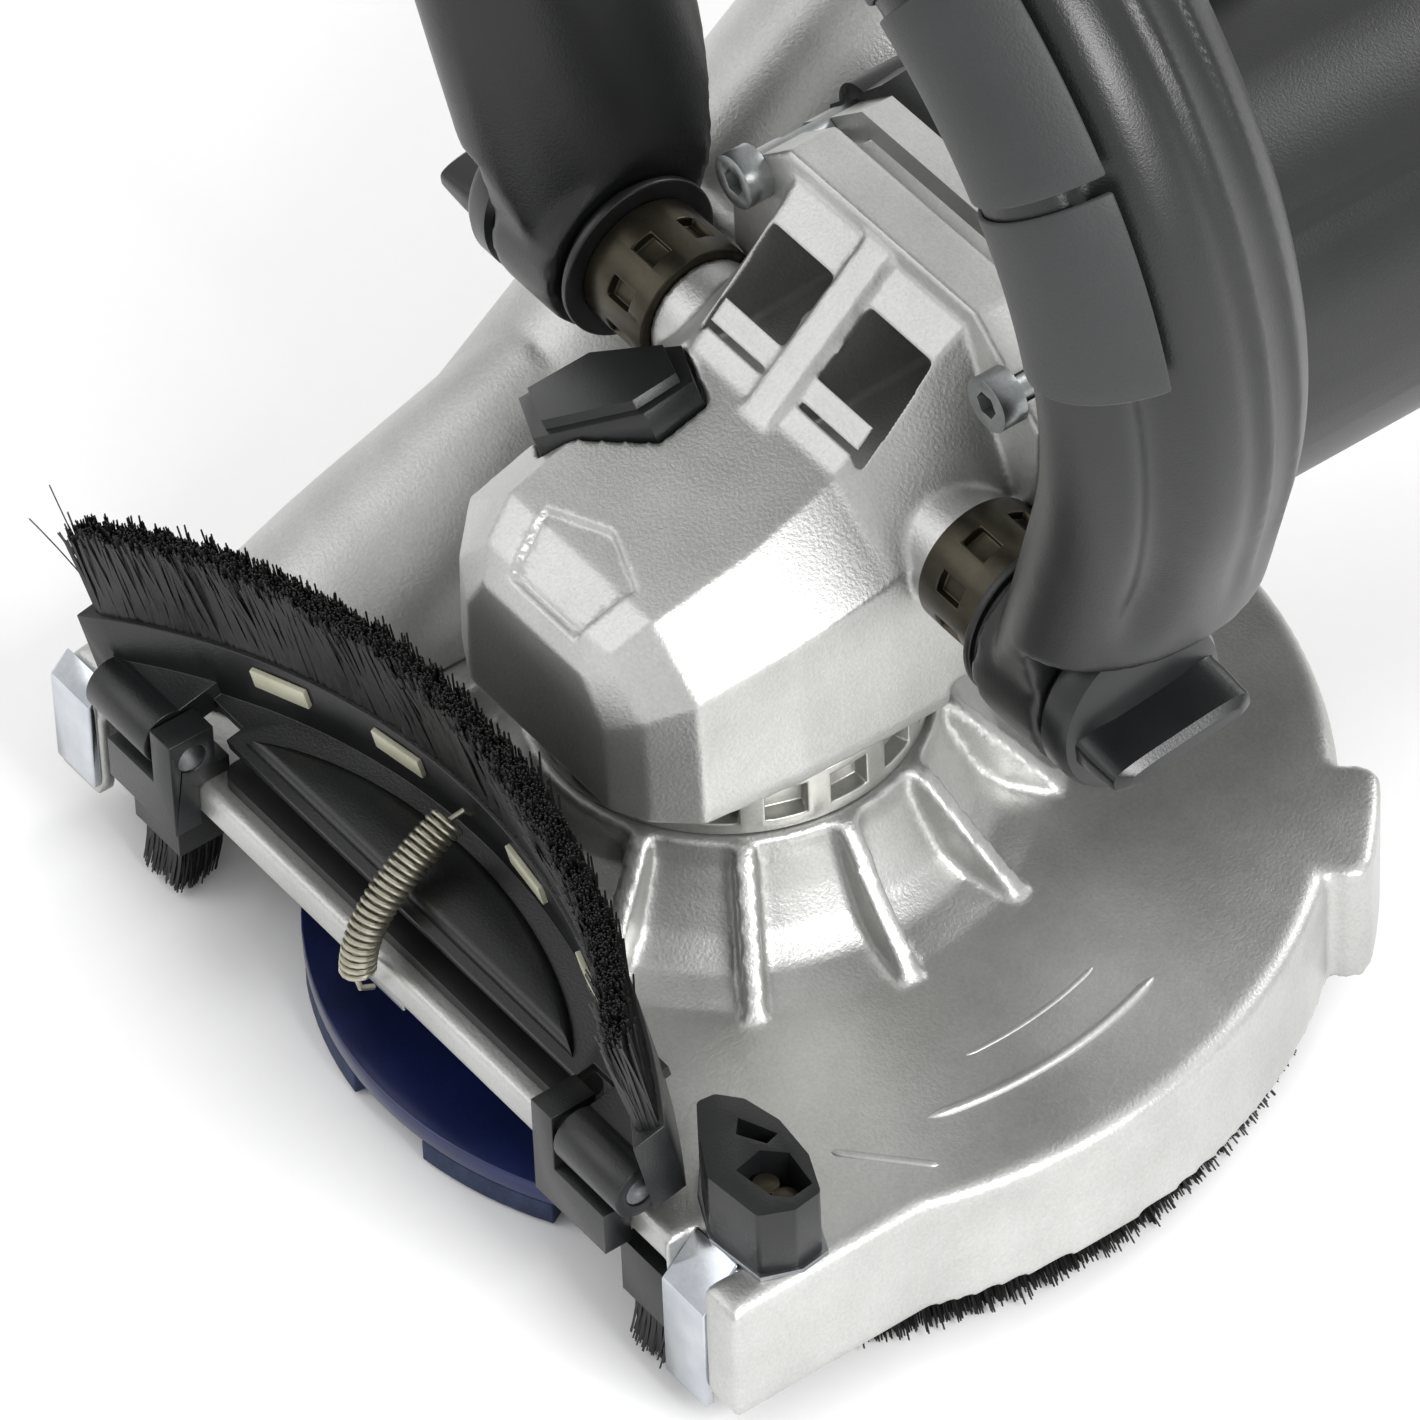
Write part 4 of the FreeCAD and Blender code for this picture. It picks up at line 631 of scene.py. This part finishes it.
def wing_knob(side, name, node):
    """Clamping knob: a round base with a rolled edge, and a wing lofted outwards from it. Each ring of the
    wing is a rounded rectangle, a superellipse of the fourth power, that gets thinner towards the tip."""
    disc = turned([(4.2, 65.9), (13.5, 65.9), (14.4, 66.9), (14.4, 70.4), (13.7, 71.8), (11.6, 72.9),
                   (7.0, 73.7), (0.01, 73.9)], (0, HUB_Y, HUB_Z), (side, 0, 0))
    stud = swept(np.array([[side * x, HUB_Y, HUB_Z] for x in (32.0, 45.0, 66.5)]), 4.0, 32)
    u = np.linspace(0, 1, 26)
    x = 68.0 + 14.0 * u
    rounding = np.where(u > 0.9, 1 - ((u - 0.9) / 0.1) ** 2 * 0.1, 1)
    half = np.interp(u, [0, 0.5, 0.92, 1], [12.4, 12.6, 12.3, 11.0]) * rounding
    thick = np.interp(u, [0, 0.35, 0.92, 1], [6.0, 3.9, 2.4, 1.3])
    sides = 48
    turn = np.arange(sides) * 2 * np.pi / sides
    cy, cz = np.cos(turn), np.sin(turn)
    power = (np.abs(cy) ** 4 + np.abs(cz) ** 4) ** -0.25
    tilt = math.radians(6)
    w, h = half[:, None] * cy * power, thick[:, None] * cz * power
    points = np.stack([np.repeat(side * x[:, None], sides, 1),
                       HUB_Y + w * math.cos(tilt) - h * math.sin(tilt),
                       HUB_Z + w * math.sin(tilt) + h * math.cos(tilt)], -1)
    last = (len(u) - 1) * sides
    caps = [list(range(sides)), list(range(last, last + sides))]
    wing = (points.reshape(-1, 3), grid_faces(len(u), sides) + caps)
    points, faces = joined([disc, stud, wing])
    return piece(name, points, faces, node, KNOB, [node], 32)


wing_knob(1, "clamp_knob_right", "wing_knob_right")
wing_knob(-1, "clamp_knob_left", "wing_knob_left")


# ---------------------------------------------------------------- small moulded and machined pieces
# Each node and the width in millimetres of the bevel on its edges; the wider ones take one step more.
EDGE_WIDTHS = (
    ("corner_block", 1.0), ("block_shim", 0.12), ("block_screws", 0.3), ("wear_plates", 0.4),
    ("hinge_bracket_right", 0.5), ("hinge_bracket_left", 0.5), ("front_seal", 0.6), ("spring_anchor", 0.3),
    ("brush_ring", 0.4), ("segment_frame", 0.35), ("segment_clips", 0.2), ("segment_pins", 0.3),
    ("lock_button", 0.7), ("flange_screws", 0.35), ("motor_housing", 0.9), ("cup_disc", 0.5),
    ("diamond_segments", 0.3), ("brush_caps", 0.5), ("hose_connector", 0.4), ("cable_gland", 0.4),
    ("speed_dial", 0.2), ("switch_paddle", 1.0), ("lock_nut", 0.4))
for node, width in EDGE_WIDTHS:
    moulded(node, width, 3 if width > 0.5 else 2)


def seam_closed(points):
    """Bring each half's points within 0.9 mm of the middle plane back to 0.04 mm from it, so that the two
    halves of the rear handle meet in a line."""
    p = points.copy()
    near = np.abs(p[:, 0]) < 0.9
    p[near, 0] = np.sign(p[near, 0]) * 0.04
    return p


for node in ("rear_handle_right", "rear_handle_left"):
    cast(node, 1.2, 8, seam_closed)


# ---------------------------------------------------------------- floor, light and camera
# Each lamp's name, place and width in metres, and power in watts.
LAMPS = (("key", (1.6, 0.1, 1.2), 0.7, 30), ("fill", (-1.0, -1.3, 1.3), 1.2, 6),
         ("rim", (-0.2, 1.7, 1.1), 0.6, 10))
CAMERA_TARGET = (-39.75, 24.43, 0)
CAMERA_DISTANCE = 1972.12
CAMERA_ANGLES = (54.95, 44.96, -2.51)
FOCAL_LENGTH, SENSOR_WIDTH = 329.6, 36.0


def studio():
    """Plain pale floor, a pale surround and three soft lamps."""
    half, level = 6.0, -0.0005
    corners = [(-half, -half, level), (half, -half, level), (half, half, level), (-half, half, level)]
    mesh = bpy.data.meshes.new("floor")
    mesh.from_pydata(corners, [], [(0, 1, 2, 3)])
    floor = bpy.data.objects.new("floor", mesh)
    bpy.context.scene.collection.objects.link(floor)
    pale = finish_of("pale_studio_floor", "#ffffff", "#fbfbfb", 0.9, 0.0, 4.0, 0.0, 600.0)
    floor.data.materials.append(pale)
    world = bpy.data.worlds.new("pale_surround")
    bpy.context.scene.world = world
    world.use_nodes = True
    surround = world.node_tree.nodes["Background"]
    surround.inputs["Color"].default_value = (1, 1, 1, 1)
    surround.inputs["Strength"].default_value = 0.8
    for name, place, size, power in LAMPS:
        lamp = bpy.data.lights.new(name, "AREA")
        lamp.size = size
        lamp.energy = power
        lamp_object = bpy.data.objects.new(name, lamp)
        lamp_object.location = place
        lamp_object.rotation_mode = "QUATERNION"
        lamp_object.rotation_quaternion = (-Vector(place)).to_track_quat("-Z", "Y")
        bpy.context.scene.collection.objects.link(lamp_object)
    bpy.context.scene.view_settings.view_transform = "Standard"


def camera():
    """Long lens from the front right, above: azimuth 54.95, elevation 44.96, rolled 2.51 degrees."""
    azimuth, elevation, roll = (math.radians(d) for d in CAMERA_ANGLES)
    back = np.array([math.sin(azimuth) * math.cos(elevation), -math.cos(azimuth) * math.cos(elevation),
                     math.sin(elevation)])
    right = np.array([math.cos(azimuth), math.sin(azimuth), 0])
    up = np.cross(back, right)
    x_axis = right * math.cos(roll) + up * math.sin(roll)
    y_axis = -right * math.sin(roll) + up * math.cos(roll)
    place = np.array(CAMERA_TARGET) * MM + back * CAMERA_DISTANCE * MM
    lens = bpy.data.cameras.new("camera")
    lens.lens = FOCAL_LENGTH
    lens.sensor_width = SENSOR_WIDTH
    lens.clip_start, lens.clip_end = 0.05, 20.0
    thing = bpy.data.objects.new("camera", lens)
    rows = [[x_axis[i], y_axis[i], back[i], place[i]] for i in range(3)]
    thing.matrix_world = Matrix(rows + [[0, 0, 0, 1]])
    bpy.context.scene.collection.objects.link(thing)
    bpy.context.scene.camera = thing


studio()
camera()
